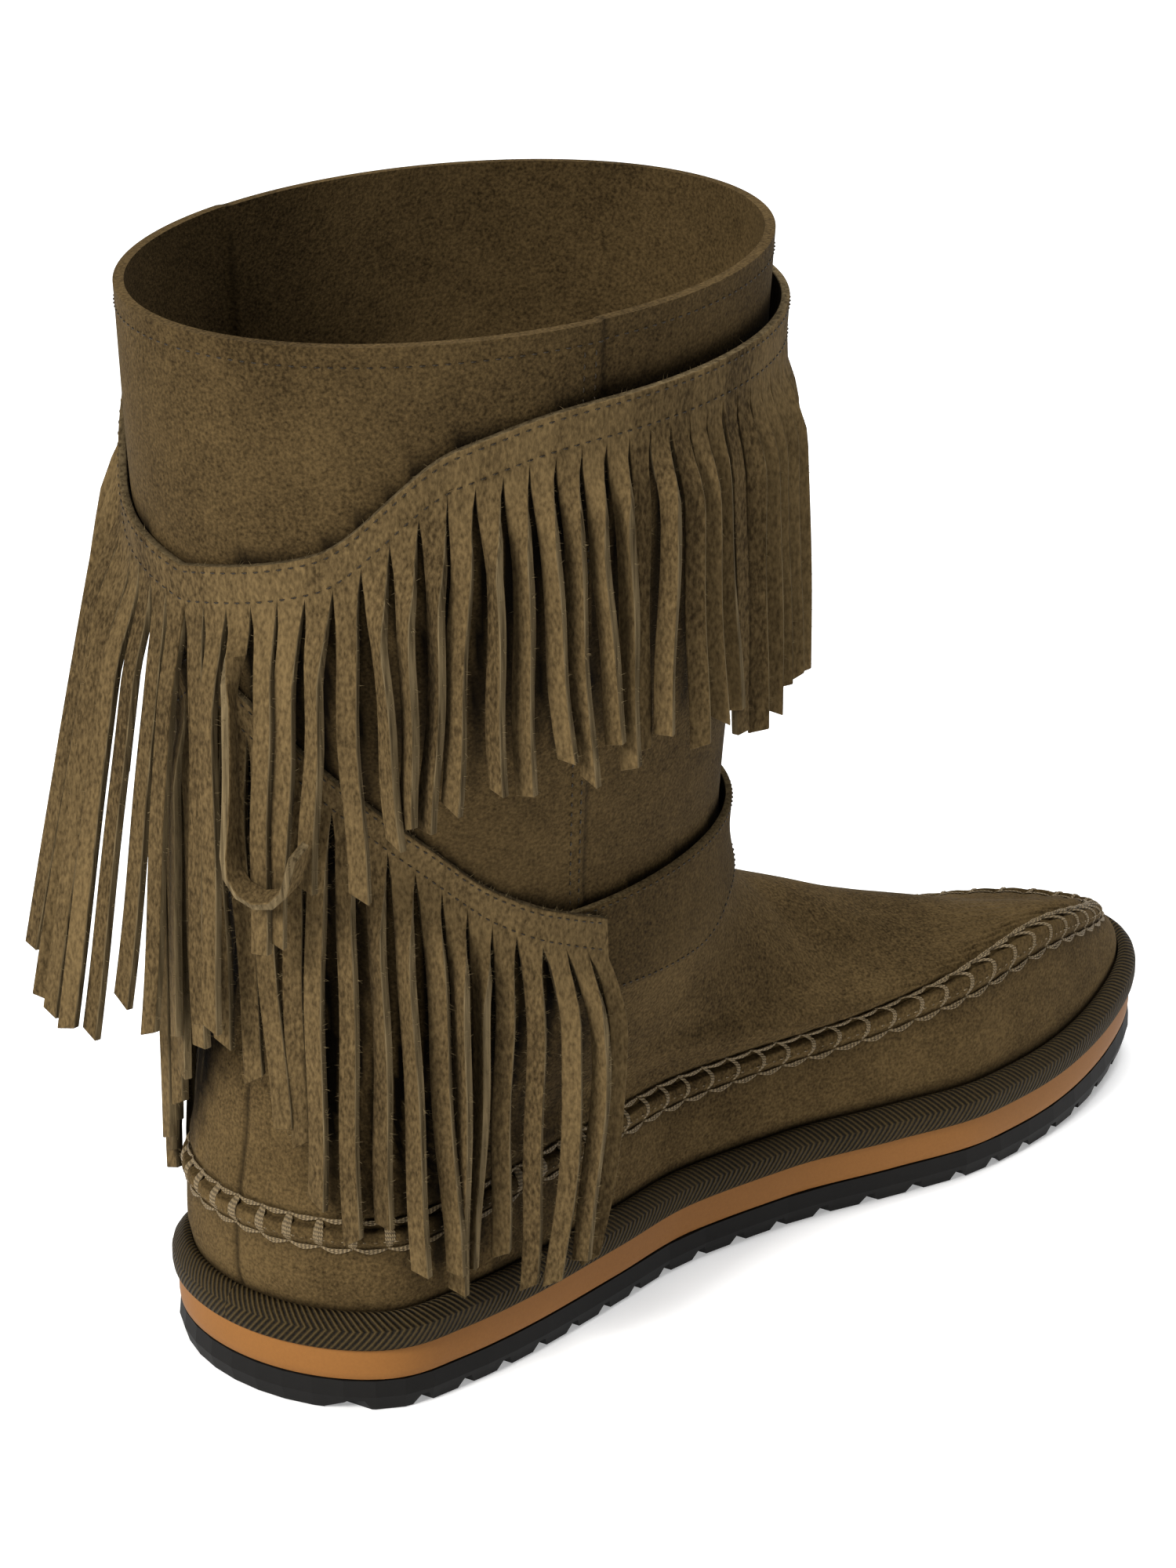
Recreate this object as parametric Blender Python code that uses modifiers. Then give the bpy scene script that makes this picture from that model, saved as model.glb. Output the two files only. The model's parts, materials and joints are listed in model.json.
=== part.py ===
"""Fringe boot for the left foot, a soft moccasin boot on a flat sole. Metres, +X to the toe, +Y outward, +Z up."""

import math
import random
from collections import namedtuple

import bmesh
import bpy
import numpy as np
from mathutils import Vector

MM = 0.001

# Driving sizes
SOLE_LENGTH = 268 * MM
BALL_HALF_WIDTH = 46.5 * MM
TOE_SWING = 8 * MM
TOE_SPRING = 6 * MM
TOE_DROP = 12 * MM
DROP_SKEW = 0.5
SEAM_CLIMB = 10 * MM
CLIMB_FADE = 18 * MM
RIDGE_SWING = 8 * MM
OUTSOLE_THICK = 7 * MM
MIDSOLE_THICK = 7 * MM
RAND_HEIGHT = 8 * MM
RAND_OVERHANG = 1.3 * MM
INSOLE_THICK = 3 * MM
WALL = 2.2 * MM
UPPER_INSET = 3.2 * MM
SEAM_RISE = 27 * MM
SEAM_BAND = 5.3 * MM
SEAM_BELOW = 0.7
SEAM_ROUND = 0.17
SEAM_RELIEF = 1.3 * MM
ANKLE_RISE = 45 * MM
SHAFT_RISE = 146 * MM
PANEL_STEP = 0.9 * MM
STRAP_THICK = 1.5 * MM
FRINGE_THICK = 1.8 * MM
BAND_WIDTH = 9.5 * MM
STRIP_PITCH = 5.5 * MM
STRIP_GAP = 0.8 * MM
UPPER_STRIP_LENGTH = 76 * MM
UPPER_TIER_DROP = 30 * MM
GROOVE_PITCH = 11 * MM
GROOVE_DEPTH = 2.2 * MM
GROOVE_FLOOR = 1.8 * MM
GROOVE_MOUTH = 5.6 * MM
GROOVE_WAVE = 2.4 * MM
GROOVE_OPEN = 1 * MM
CUTTER_REACH = 1.4
FIT = 0.3 * MM
LAY = 0.4 * MM

# Counts
COLUMNS = 54
SOLE_COLUMNS = 72
LOWER_STRIP_STEPS = 4
UPPER_STRIP_STEPS = 3
STRIP_PROBES = 28
GROOVE_FOLDS = 6

# Levels that follow from the sizes
MIDSOLE_TOP = OUTSOLE_THICK + MIDSOLE_THICK
UPPER_BASE = MIDSOLE_TOP + FIT
SEAM_HEIGHT = MIDSOLE_TOP + SEAM_RISE
SEAM_FOOT = SEAM_HEIGHT - SEAM_BELOW * SEAM_BAND
SEAM_HEAD = SEAM_FOOT + SEAM_BAND
ANKLE_HEIGHT = SEAM_HEIGHT + ANKLE_RISE
COLLAR_HEIGHT = ANKLE_HEIGHT + SHAFT_RISE

# Sole outline. Along is a share of the sole's length from the heel. Inner and outer are shares of the ball's
# half width by which a plain oval is filled out there.
PLAN_ALONG = (0.00, 0.05, 0.12, 0.20, 0.30, 0.40, 0.50, 0.60, 0.70, 0.80, 0.90, 1.00)
PLAN_INNER = (1.72, 1.55, 1.20, 0.97, 0.78, 0.665, 0.715, 0.88, 1.03, 1.05, 1.04, 1.10)
PLAN_OUTER = (1.72, 1.55, 1.21, 1.00, 0.86, 0.835, 0.87, 0.95, 1.04, 1.08, 1.10, 1.12)
SWING_START = 0.55
SPRING_START = 0.75
SPRING_FADE = 60 * MM
DROP_START = 0.66
DROP_END = 0.93
CLIMB_START = 0.50
CLIMB_END = 0.80
TANGENT_STEP = 0.5

# Edges of the sole's layers from below upward. Inset is the distance inside the outline, rise a share of thickness.
EdgeRow = namedtuple("EdgeRow", "inset rise")
OUTSOLE_EDGE = (EdgeRow(0.8 * MM, 0.0), EdgeRow(-0.2 * MM, 0.48), EdgeRow(0.2 * MM, 1.0))
MIDSOLE_EDGE = (EdgeRow(0.3 * MM, 0.0), EdgeRow(0.0, 0.5), EdgeRow(0.2 * MM, 1.0))

# Section of the rand. Out is a share of its overhang, over is a share of its way in to the upper, and rise is a
# share of its height.
RandRow = namedtuple("RandRow", "out over rise")
RAND_ROWS = (
    RandRow(0.50, 0.00, 0.00),
    RandRow(1.00, 0.00, 0.22),
    RandRow(1.00, 0.00, 0.55),
    RandRow(0.15, 0.00, 0.85),
    RandRow(0.00, 0.45, 1.00),
    RandRow(0.00, 1.00, 1.00),
    RandRow(0.00, 1.00, 0.00),
)

# Side wall of the upper from its base to the seam. Rise is the share of that height, inset and toe are shares of
# the upper's inset: how far the wall lies inside the sole's outline, and how far the toe leans back.
WallRow = namedtuple("WallRow", "rise inset toe")
WALL_ROWS = (
    WallRow(0.00, 1.00, 0.0),
    WallRow(0.28, 1.00, 0.1),
    WallRow(0.55, 0.68, 0.7),
    WallRow(1.00, 0.75, 2.0),
)
SEAM_ROW = WallRow(1.00, 1.00, 2.9)
TOE_LEAN_START = 0.72

# Level sections above the seam. Rise is the share of the height from seam to ankle, or from ankle to collar. Back
# and front are shares of the sole's length, and swing is the share of the ridge's swing to the inner side. Inner and
# outer are shares of the ball's half width at the places along the section that FULL_ALONG names.
Section = namedtuple("Section", "rise back front swing inner outer")
FULL_ALONG = (0.00, 0.15, 0.40, 0.70, 1.00)
FOOT_SECTIONS = (
    Section(0.13, 0.0157, 0.888, 1.0, (1.63, 1.00, 0.60, 0.80, 0.92), (1.63, 1.00, 0.75, 0.86, 0.58)),
    Section(0.22, 0.0185, 0.787, 1.0, (1.56, 0.98, 0.63, 0.68, 0.66), (1.56, 0.98, 0.77, 0.82, 0.58)),
    Section(0.32, 0.0210, 0.7015, 1.0, (1.50, 0.95, 0.68, 0.60, 0.58), (1.50, 0.97, 0.80, 0.79, 0.62)),
    Section(0.53, 0.0240, 0.612, 0.7, (1.38, 0.93, 0.79, 0.64, 0.50), (1.38, 0.93, 0.85, 0.78, 0.62)),
    Section(0.77, 0.0350, 0.530, 0.4, (1.20, 0.95, 0.86, 0.79, 0.64), (1.20, 0.95, 0.88, 0.86, 0.70)),
    Section(1.00, 0.0430, 0.502, 0.2, (1.03, 0.95, 0.91, 0.88, 0.80), (1.03, 0.95, 0.91, 0.88, 0.82)),
)
SHAFT_SECTIONS = (
    Section(0.10, 0.0450, 0.4880, 0.1, (0.95, 0.94, 0.93, 0.91, 0.90), (0.95, 0.94, 0.93, 0.91, 0.90)),
    Section(0.23, 0.0300, 0.4900, 0.0, (0.99,) * 5, (0.99,) * 5),
    Section(0.44, 0.0000, 0.5010, 0.0, (1.10,) * 5, (1.10,) * 5),
    Section(0.71, -0.022, 0.5130, 0.0, (1.18,) * 5, (1.18,) * 5),
    Section(1.00, -0.030, 0.5240, 0.0, (1.23,) * 5, (1.23,) * 5),
)

# Rings of the upper above the seam, as heights at the back and at the front. A value up to 1 is a share of the
# height from seam to ankle, and a value over 1 counts on from the ankle to the collar.
RING_BACKS = (0.10, 0.22, 0.36, 0.51, 0.68, 0.88, 1.02, 1.09, 1.17, 1.26, 1.37, 1.50, 1.65, 1.82, 2.00)
RING_FRONTS = (0.04, 0.09, 0.14, 0.20, 0.29, 0.42, 0.61, 0.85, 1.04, 1.16, 1.30, 1.45, 1.62, 1.81, 2.00)

# Ankle strap: its edges by angle from the back centre, as shares of the height from seam to ankle
STRAP_ANGLES = (72, 88, 113, 134, 180)
STRAP_FOOT = (0.95, 0.90, 0.87, 0.99, 1.14)
STRAP_HEAD = (1.39, 1.41, 1.44, 1.46, 1.50)
STRAP_ACROSS = 3

# Lower fringe: its stitch line and its strips' tips by angle from the back centre, in the same shares
LOWER_ANGLES = (0, 15, 30, 45.6, 60, 75, 83)
LOWER_HEIGHTS = (2.66, 2.40, 2.07, 1.73, 1.42, 1.25, 1.17)
LOWER_TIPS = (0.98, 0.47, 0.03, -0.25, -0.36, -0.43, -0.47)
OVER_STRAP_ANGLES = (60, 70)
SLIT_DROP = 2 * MM
STRIP_CLEAR = 1.2 * MM
STRIP_SPREAD = 3 * MM
STRIP_ROOT = 0.1
SLIT_PROBES = 241

# Upper fringe: drop of its stitch line below the collar by angle from the back centre, as shares of the tier's drop
UPPER_ANGLES = (0, 30, 55, 80, 180)
UPPER_DROPS = (1.87, 1.65, 0.95, 0.75, 0.70)

# Upper fringe: length of its strips as shares of the usual length, by angle round from the back centre, outer first
LENGTH_ANGLES = (0, 20, 45, 80, 120, 180, 240, 300, 325, 345, 360)
LENGTH_SHARES = (1.18, 1.25, 1.36, 1.20, 1.03, 0.95, 0.89, 0.84, 0.80, 1.05, 1.18)

# Upper fringe: how far the strips' tips stand off the shaft, by angle round from the back centre, outer side first
SPLAY_ANGLES = (0, 25, 50, 75, 110, 180, 300, 330, 360)
SPLAY = (5 * MM, 17 * MM, 20 * MM, 12 * MM, 5 * MM, 2 * MM, 2 * MM, 3 * MM, 5 * MM)

PANEL_SEAM_ANGLE = 80
PANEL_SEAM_HALF = 0.7
PANEL_FADE = (0.15, 0.25)
BRIDGE_START = 66

Finish = namedtuple("Finish", "colour roughness")
SUEDE = Finish((0.115, 0.088, 0.045), 0.95)
STRAP_SUEDE = Finish((0.105, 0.080, 0.042), 0.95)
FRINGE_SUEDE = Finish((0.125, 0.096, 0.052), 0.95)
TAPE = Finish((0.050, 0.043, 0.026), 0.80)
FOAM = Finish((0.480, 0.225, 0.070), 0.60)
RUBBER = Finish((0.018, 0.018, 0.018), 0.70)
FELT = Finish((0.300, 0.260, 0.200), 0.95)


def clear_scene():
    """Remove what the file holds, so that the boot stands alone."""
    for thing in list(bpy.data.objects):
        bpy.data.objects.remove(thing)


def make_collection(name):
    """Return a new collection linked to the scene."""
    collection = bpy.data.collections.new(name)
    bpy.context.scene.collection.children.link(collection)
    return collection


def soft(share):
    """Ease a share from 0 to 1."""
    held = min(max(share, 0.0), 1.0)
    return held * held * (3 - 2 * held)


def smooth_table(keys, values, where):
    """Read a table at one place with a cubic that never overshoots its rows."""
    keys = np.asarray(keys, float)
    values = np.asarray(values, float)
    steps = np.diff(keys)
    shape = (-1,) + (1,) * (values.ndim - 1)
    slopes = np.diff(values, axis=0) / steps.reshape(shape)
    tangents = np.zeros_like(values)
    same_way = slopes[:-1] * slopes[1:] > 0
    total = np.where(same_way, slopes[:-1] + slopes[1:], 1.0)
    tangents[1:-1] = np.where(same_way, 2 * slopes[:-1] * slopes[1:] / total, 0.0)
    tangents[0] = slopes[0]
    tangents[-1] = slopes[-1]
    held = min(max(where, keys[0]), keys[-1])
    row = min(int(np.searchsorted(keys, held, side="right")) - 1, len(steps) - 1)
    step = steps[row]
    t = (held - keys[row]) / step
    return (
        values[row] * (1 + 2 * t) * (1 - t) ** 2
        + tangents[row] * step * t * (1 - t) ** 2
        + values[row + 1] * t * t * (3 - 2 * t)
        + tangents[row + 1] * step * t * t * (t - 1)
    )


def along_share(angle):
    """Share of a section's length at an angle, 0 at the back centre and 180 at the front."""
    return (1 - math.cos(math.radians(angle))) / 2


def centre_line(x):
    """Sideways place of the sole's middle, which swings inward at the toe."""
    share = x / SOLE_LENGTH
    return -TOE_SWING * soft((share - SWING_START) / (1 - SWING_START))


def plan_point(angle):
    """Point of the sole's outline."""
    share = along_share(angle)
    x = share * SOLE_LENGTH
    side = math.sin(math.radians(angle))
    column = PLAN_OUTER if side >= 0 else PLAN_INNER
    full = smooth_table(PLAN_ALONG, column, share) * BALL_HALF_WIDTH
    return np.array((x, centre_line(x) + side * full))


def plan_inside(angle, inset):
    """Point at a distance inside the sole's outline."""
    along = plan_point(angle + TANGENT_STEP) - plan_point(angle - TANGENT_STEP)
    along /= np.linalg.norm(along)
    return plan_point(angle) + inset * np.array((along[1], -along[0]))


def spring(x, height):
    """Lift of the toe by the first half of an ease, which fades up the foot."""
    along = (x / SOLE_LENGTH - SPRING_START) / (1 - SPRING_START)
    rise = soft(along / 2) * 2
    fade = 1 - soft((height - MIDSOLE_TOP) / SPRING_FADE)
    return TOE_SPRING * rise * fade


def toe_drop(x, y, height):
    """Fall of the seam to the toe, sooner on the outer side, less its climb along the ball's inner side."""
    share = soft(((x + DROP_SKEW * y) / SOLE_LENGTH - DROP_START) / (DROP_END - DROP_START))
    along = soft((x / SOLE_LENGTH - CLIMB_START) / (CLIMB_END - CLIMB_START))
    fade = 1 - soft((height - SEAM_HEAD) / CLIMB_FADE)
    climb = SEAM_CLIMB * along * soft(-y / BALL_HALF_WIDTH) * fade
    rand_top = MIDSOLE_TOP + RAND_HEIGHT
    rise = (height - rand_top) / (SEAM_HEAD - rand_top)
    return (TOE_DROP * share - climb) * min(max(rise, 0.0), 1.0)


def sprung(x, y, height):
    """Point raised by the toe's spring and lowered by the fall of its seam."""
    return Vector((x, y, height + spring(x, height) - toe_drop(x, y, height)))


def section_point(section, angle):
    """Point of a level section above the seam."""
    share = along_share(angle)
    side = math.sin(math.radians(angle))
    column = section.outer if side >= 0 else section.inner
    full = smooth_table(FULL_ALONG, column, share) * BALL_HALF_WIDTH
    x = (section.back + share * (section.front - section.back)) * SOLE_LENGTH
    ridge = section.swing * RIDGE_SWING * share * share
    return np.array((x, centre_line(x) - ridge + side * full))


def height_of(share):
    """Height of a share that counts from the seam to the ankle, and past 1 on to the collar."""
    if share <= 1:
        return SEAM_HEAD + share * (ANKLE_HEIGHT - SEAM_HEAD)
    return ANKLE_HEIGHT + (share - 1) * SHAFT_RISE


def level_at(share):
    """Height of a share of the rise from seam to ankle, which may run past the ankle."""
    return SEAM_HEAD + share * (ANKLE_HEIGHT - SEAM_HEAD)


def column_angles():
    """Angles of the upper's columns, with a close pair at each panel seam."""
    pitch = 360 / COLUMNS
    angles = [pitch * k for k in range(COLUMNS)]
    for seam in (PANEL_SEAM_ANGLE, 360 - PANEL_SEAM_ANGLE):
        nearest = min(angles, key=lambda angle: abs(angle - seam))
        angles.remove(nearest)
        angles += [seam - PANEL_SEAM_HALF, seam + PANEL_SEAM_HALF]
    return sorted(angles)


def panel_step(angle, height):
    """Depth by which the front panel of the shaft lies under the rear one."""
    from_back = min(angle, 360 - angle)
    if from_back < PANEL_SEAM_ANGLE:
        return 0.0
    share = (height - ANKLE_HEIGHT) / SHAFT_RISE
    return PANEL_STEP * soft((share - PANEL_FADE[0]) / (PANEL_FADE[1] - PANEL_FADE[0]))


class Wall:
    """Outer face of the upper, read by angle from the back centre and by height."""

    def __init__(self):
        self.angles = column_angles()
        self.columns = [self.column(angle) for angle in self.angles]

    def column(self, angle):
        """Points of one column from the base to the collar."""
        heights = []
        places = []
        lean = soft((along_share(angle) - TOE_LEAN_START) / (1 - TOE_LEAN_START))
        for row in WALL_ROWS + (SEAM_ROW,):
            place = plan_inside(angle, UPPER_INSET * row.inset)
            place[0] -= UPPER_INSET * row.toe * lean
            heights.append(UPPER_BASE + row.rise * (SEAM_FOOT - UPPER_BASE))
            places.append(place)
        heights[-1] = SEAM_HEAD
        for section in FOOT_SECTIONS:
            heights.append(height_of(section.rise))
            places.append(section_point(section, angle))
        for section in SHAFT_SECTIONS:
            heights.append(height_of(1 + section.rise))
            places.append(section_point(section, angle))
        points = []
        for height, relief in self.ring_heights(angle):
            place = smooth_table(heights, places, height)
            outward = self.outward(angle)
            place = place + outward * (relief - panel_step(angle, height))
            points.append(sprung(place[0], place[1], height))
        return points

    @staticmethod
    def outward(angle):
        """Level direction away from the sole's outline."""
        inside = plan_inside(angle, MM) - plan_point(angle)
        return -inside / np.linalg.norm(inside)

    @staticmethod
    def ring_heights(angle):
        """Heights of the rings at one angle, each with the seam's relief there."""
        lip = SEAM_ROUND * SEAM_BAND
        rows = [(UPPER_BASE + row.rise * (SEAM_FOOT - UPPER_BASE), 0.0) for row in WALL_ROWS]
        rows.append((SEAM_FOOT + lip, SEAM_RELIEF))
        rows.append((SEAM_HEAD - lip, SEAM_RELIEF))
        rows.append((SEAM_HEAD, 0.0))
        share = along_share(angle)
        for back, front in zip(RING_BACKS, RING_FRONTS):
            low = height_of(back)
            rows.append((low + share * (height_of(front) - low), 0.0))
        return rows

    def rings(self):
        """Points ring by ring, from the base to the collar."""
        return [list(ring) for ring in zip(*self.columns)]

    def level(self, index, height):
        """Place of one column at a height."""
        column = self.columns[index % len(self.columns)]
        heights = [point.z for point in column]
        return Vector((
            np.interp(height, heights, [point.x for point in column]),
            np.interp(height, heights, [point.y for point in column]),
            height,
        ))

    def at(self, angle, height, lift=0.0):
        """Point at a level distance off the wall."""
        angle = angle % 360
        last = len(self.angles)
        after = next((k for k, known in enumerate(self.angles) if known > angle), last)
        before = after - 1
        start = self.angles[before]
        end = self.angles[after] if after < last else 360.0
        share = (angle - start) / (end - start)
        near = self.level(before, height)
        far = self.level(after, height)
        return near.lerp(far, share) + self.normal(before, after, height, share) * lift

    def normal(self, before, after, height, share):
        """Level direction off the wall between two columns, blended from its neighbours."""
        first = self.level(after, height) - self.level(before - 1, height)
        second = self.level(after + 1, height) - self.level(before, height)
        along = first.normalized().lerp(second.normalized(), share).normalized()
        return Vector((-along.y, along.x, 0))

    def reach(self, start, outward, height):
        """How far the wall stands at a height, from a start point along a level direction."""
        ring = [self.level(index, height) for index in range(len(self.columns))]
        best = 0.0
        for near, far in zip(ring, ring[1:] + ring[:1]):
            edge = far - near
            turn = outward.x * edge.y - outward.y * edge.x
            if abs(turn) < 1e-12:
                continue
            gap = near - start
            out = (gap.x * edge.y - gap.y * edge.x) / turn
            share = (gap.x * outward.y - gap.y * outward.x) / turn
            if 0 <= share <= 1:
                best = max(best, out)
        return best


def finish_object(name, mesh, collection, finish, sharp_angle=40):
    """Link a mesh as an object with its own material and smooth shading."""
    thing = bpy.data.objects.new(name, mesh)
    collection.objects.link(thing)
    material = bpy.data.materials.new(name + "_finish")
    material.use_nodes = True
    shader = material.node_tree.nodes["Principled BSDF"]
    shader.inputs["Base Color"].default_value = (*finish.colour, 1)
    shader.inputs["Roughness"].default_value = finish.roughness
    shader.inputs["Metallic"].default_value = 0
    mesh.materials.append(material)
    mesh.shade_smooth()
    mesh.set_sharp_from_angle(angle=math.radians(sharp_angle))
    return thing


def loft(name, rings, round_rings=True, tube=False, capped=False):
    """Mesh through rings of equally many points.

    A ring can be round. The rings form a tube when the last meets the first, and capped closes the first and the
    last ring with rows of faces straight across.
    """
    work = bmesh.new()
    grid = [[work.verts.new(point) for point in ring] for ring in rings]
    count = len(rings[0])
    ring_pairs = list(zip(grid, grid[1:]))
    if tube:
        ring_pairs.append((grid[-1], grid[0]))
    for low, high in ring_pairs:
        for k in range(count if round_rings else count - 1):
            after = (k + 1) % count
            work.faces.new((low[k], high[k], high[after], low[after]))
    if capped:
        for ring in (grid[0], grid[-1]):
            for k in range(count // 2):
                across = (ring[k], ring[k + 1], ring[-k - 1], ring[-k])
                work.faces.new(list(dict.fromkeys(across)))
    bmesh.ops.recalc_face_normals(work, faces=work.faces)
    mesh = bpy.data.meshes.new(name)
    work.to_mesh(mesh)
    work.free()
    return mesh


def add_solidify(thing, thickness, offset):
    """Give an open sheet its thickness."""
    solid = thing.modifiers.new("Thickness", "SOLIDIFY")
    solid.thickness = thickness
    solid.offset = offset
    solid.use_even_offset = True
    solid.use_rim = True
    return solid


def sole_slab(name, levels, angles, collection, finish):
    """Slab with the sole's outline, from levels of inset and height."""
    rings = []
    for inset, height in levels:
        places = [plan_inside(angle, inset) for angle in angles]
        rings.append([sprung(place[0], place[1], height) for place in places])
    return finish_object(name, loft(name, rings, capped=True), collection, finish)


def groove_cutter(collection):
    """Zigzag wedges that cut the tread's grooves."""
    half_way = BALL_HALF_WIDTH * CUTTER_REACH
    parts = bmesh.new()
    count = int((SOLE_LENGTH - GROOVE_PITCH) / GROOVE_PITCH)
    for number in range(count):
        middle = GROOVE_PITCH * (number + 1)
        rings = []
        for fold in range(GROOVE_FOLDS + 1):
            y = half_way * (2 * fold / GROOVE_FOLDS - 1)
            x = middle + GROOVE_WAVE * (1 if fold % 2 else -1)
            lift = spring(middle, 0)
            rings.append([
                Vector((x - GROOVE_MOUTH / 2, y, -GROOVE_OPEN)),
                Vector((x + GROOVE_MOUTH / 2, y, -GROOVE_OPEN)),
                Vector((x + GROOVE_FLOOR / 2, y, GROOVE_DEPTH + lift)),
                Vector((x - GROOVE_FLOOR / 2, y, GROOVE_DEPTH + lift)),
            ])
        wedge = loft("wedge", rings, capped=True)
        parts.from_mesh(wedge)
        bpy.data.meshes.remove(wedge)
    mesh = bpy.data.meshes.new("groove_cutter")
    parts.to_mesh(mesh)
    parts.free()
    cutter = bpy.data.objects.new("groove_cutter", mesh)
    cutter.hide_render = True
    cutter.display_type = "WIRE"
    collection.objects.link(cutter)
    return cutter


def make_outsole(collection, cutter, angles):
    """Rubber outsole with a flared foot and zigzag grooves."""
    levels = [(row.inset, row.rise * (OUTSOLE_THICK - FIT / 2)) for row in OUTSOLE_EDGE]
    outsole = sole_slab("outsole", levels, angles, collection, RUBBER)
    cut = outsole.modifiers.new("Grooves", "BOOLEAN")
    cut.operation = "DIFFERENCE"
    cut.solver = "EXACT"
    cut.object = cutter
    return outsole


def make_midsole(collection, angles):
    """Foam midsole between outsole and rand."""
    foot = OUTSOLE_THICK + FIT / 2
    levels = [(row.inset, foot + row.rise * (MIDSOLE_TOP - foot)) for row in MIDSOLE_EDGE]
    return sole_slab("midsole", levels, angles, collection, FOAM)


def make_rand(collection, angles):
    """Tape bound rand that goes round the foot of the upper."""
    inner = UPPER_INSET - FIT
    rings = []
    for row in RAND_ROWS:
        inset = row.over * inner - row.out * RAND_OVERHANG
        height = UPPER_BASE + row.rise * (RAND_HEIGHT - FIT)
        places = [plan_inside(angle, inset) for angle in angles]
        rings.append([sprung(place[0], place[1], height) for place in places])
    return finish_object("rand", loft("rand", rings, tube=True), collection, TAPE)


def make_insole(collection, angles):
    """Flat insole within the foot of the upper."""
    inset = UPPER_INSET + WALL + LAY
    levels = ((inset, UPPER_BASE), (inset, UPPER_BASE + INSOLE_THICK))
    return sole_slab("insole", levels, angles, collection, FELT)


def make_upper(collection, wall):
    """Hollow upper, open at the collar and underneath."""
    upper = finish_object("upper", loft("upper", wall.rings()), collection, SUEDE)
    add_solidify(upper, WALL, -1)
    return upper


def make_strap(collection, wall):
    """Crescent strap laid over the instep and round the ankle."""
    first = STRAP_ANGLES[0]
    angles = [angle for angle in wall.angles if first <= angle <= 360 - first]
    rows = []
    for step in range(STRAP_ACROSS + 1):
        row = []
        for angle in angles:
            from_back = min(angle, 360 - angle)
            foot = level_at(smooth_table(STRAP_ANGLES, STRAP_FOOT, from_back))
            head = level_at(smooth_table(STRAP_ANGLES, STRAP_HEAD, from_back))
            row.append(wall.at(angle, foot + (head - foot) * step / STRAP_ACROSS, LAY))
        rows.append(row)
    strap = finish_object("ankle_strap", loft("ankle_strap", rows, round_rings=False), collection, STRAP_SUEDE)
    add_solidify(strap, STRAP_THICK, 1)
    return strap


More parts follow.
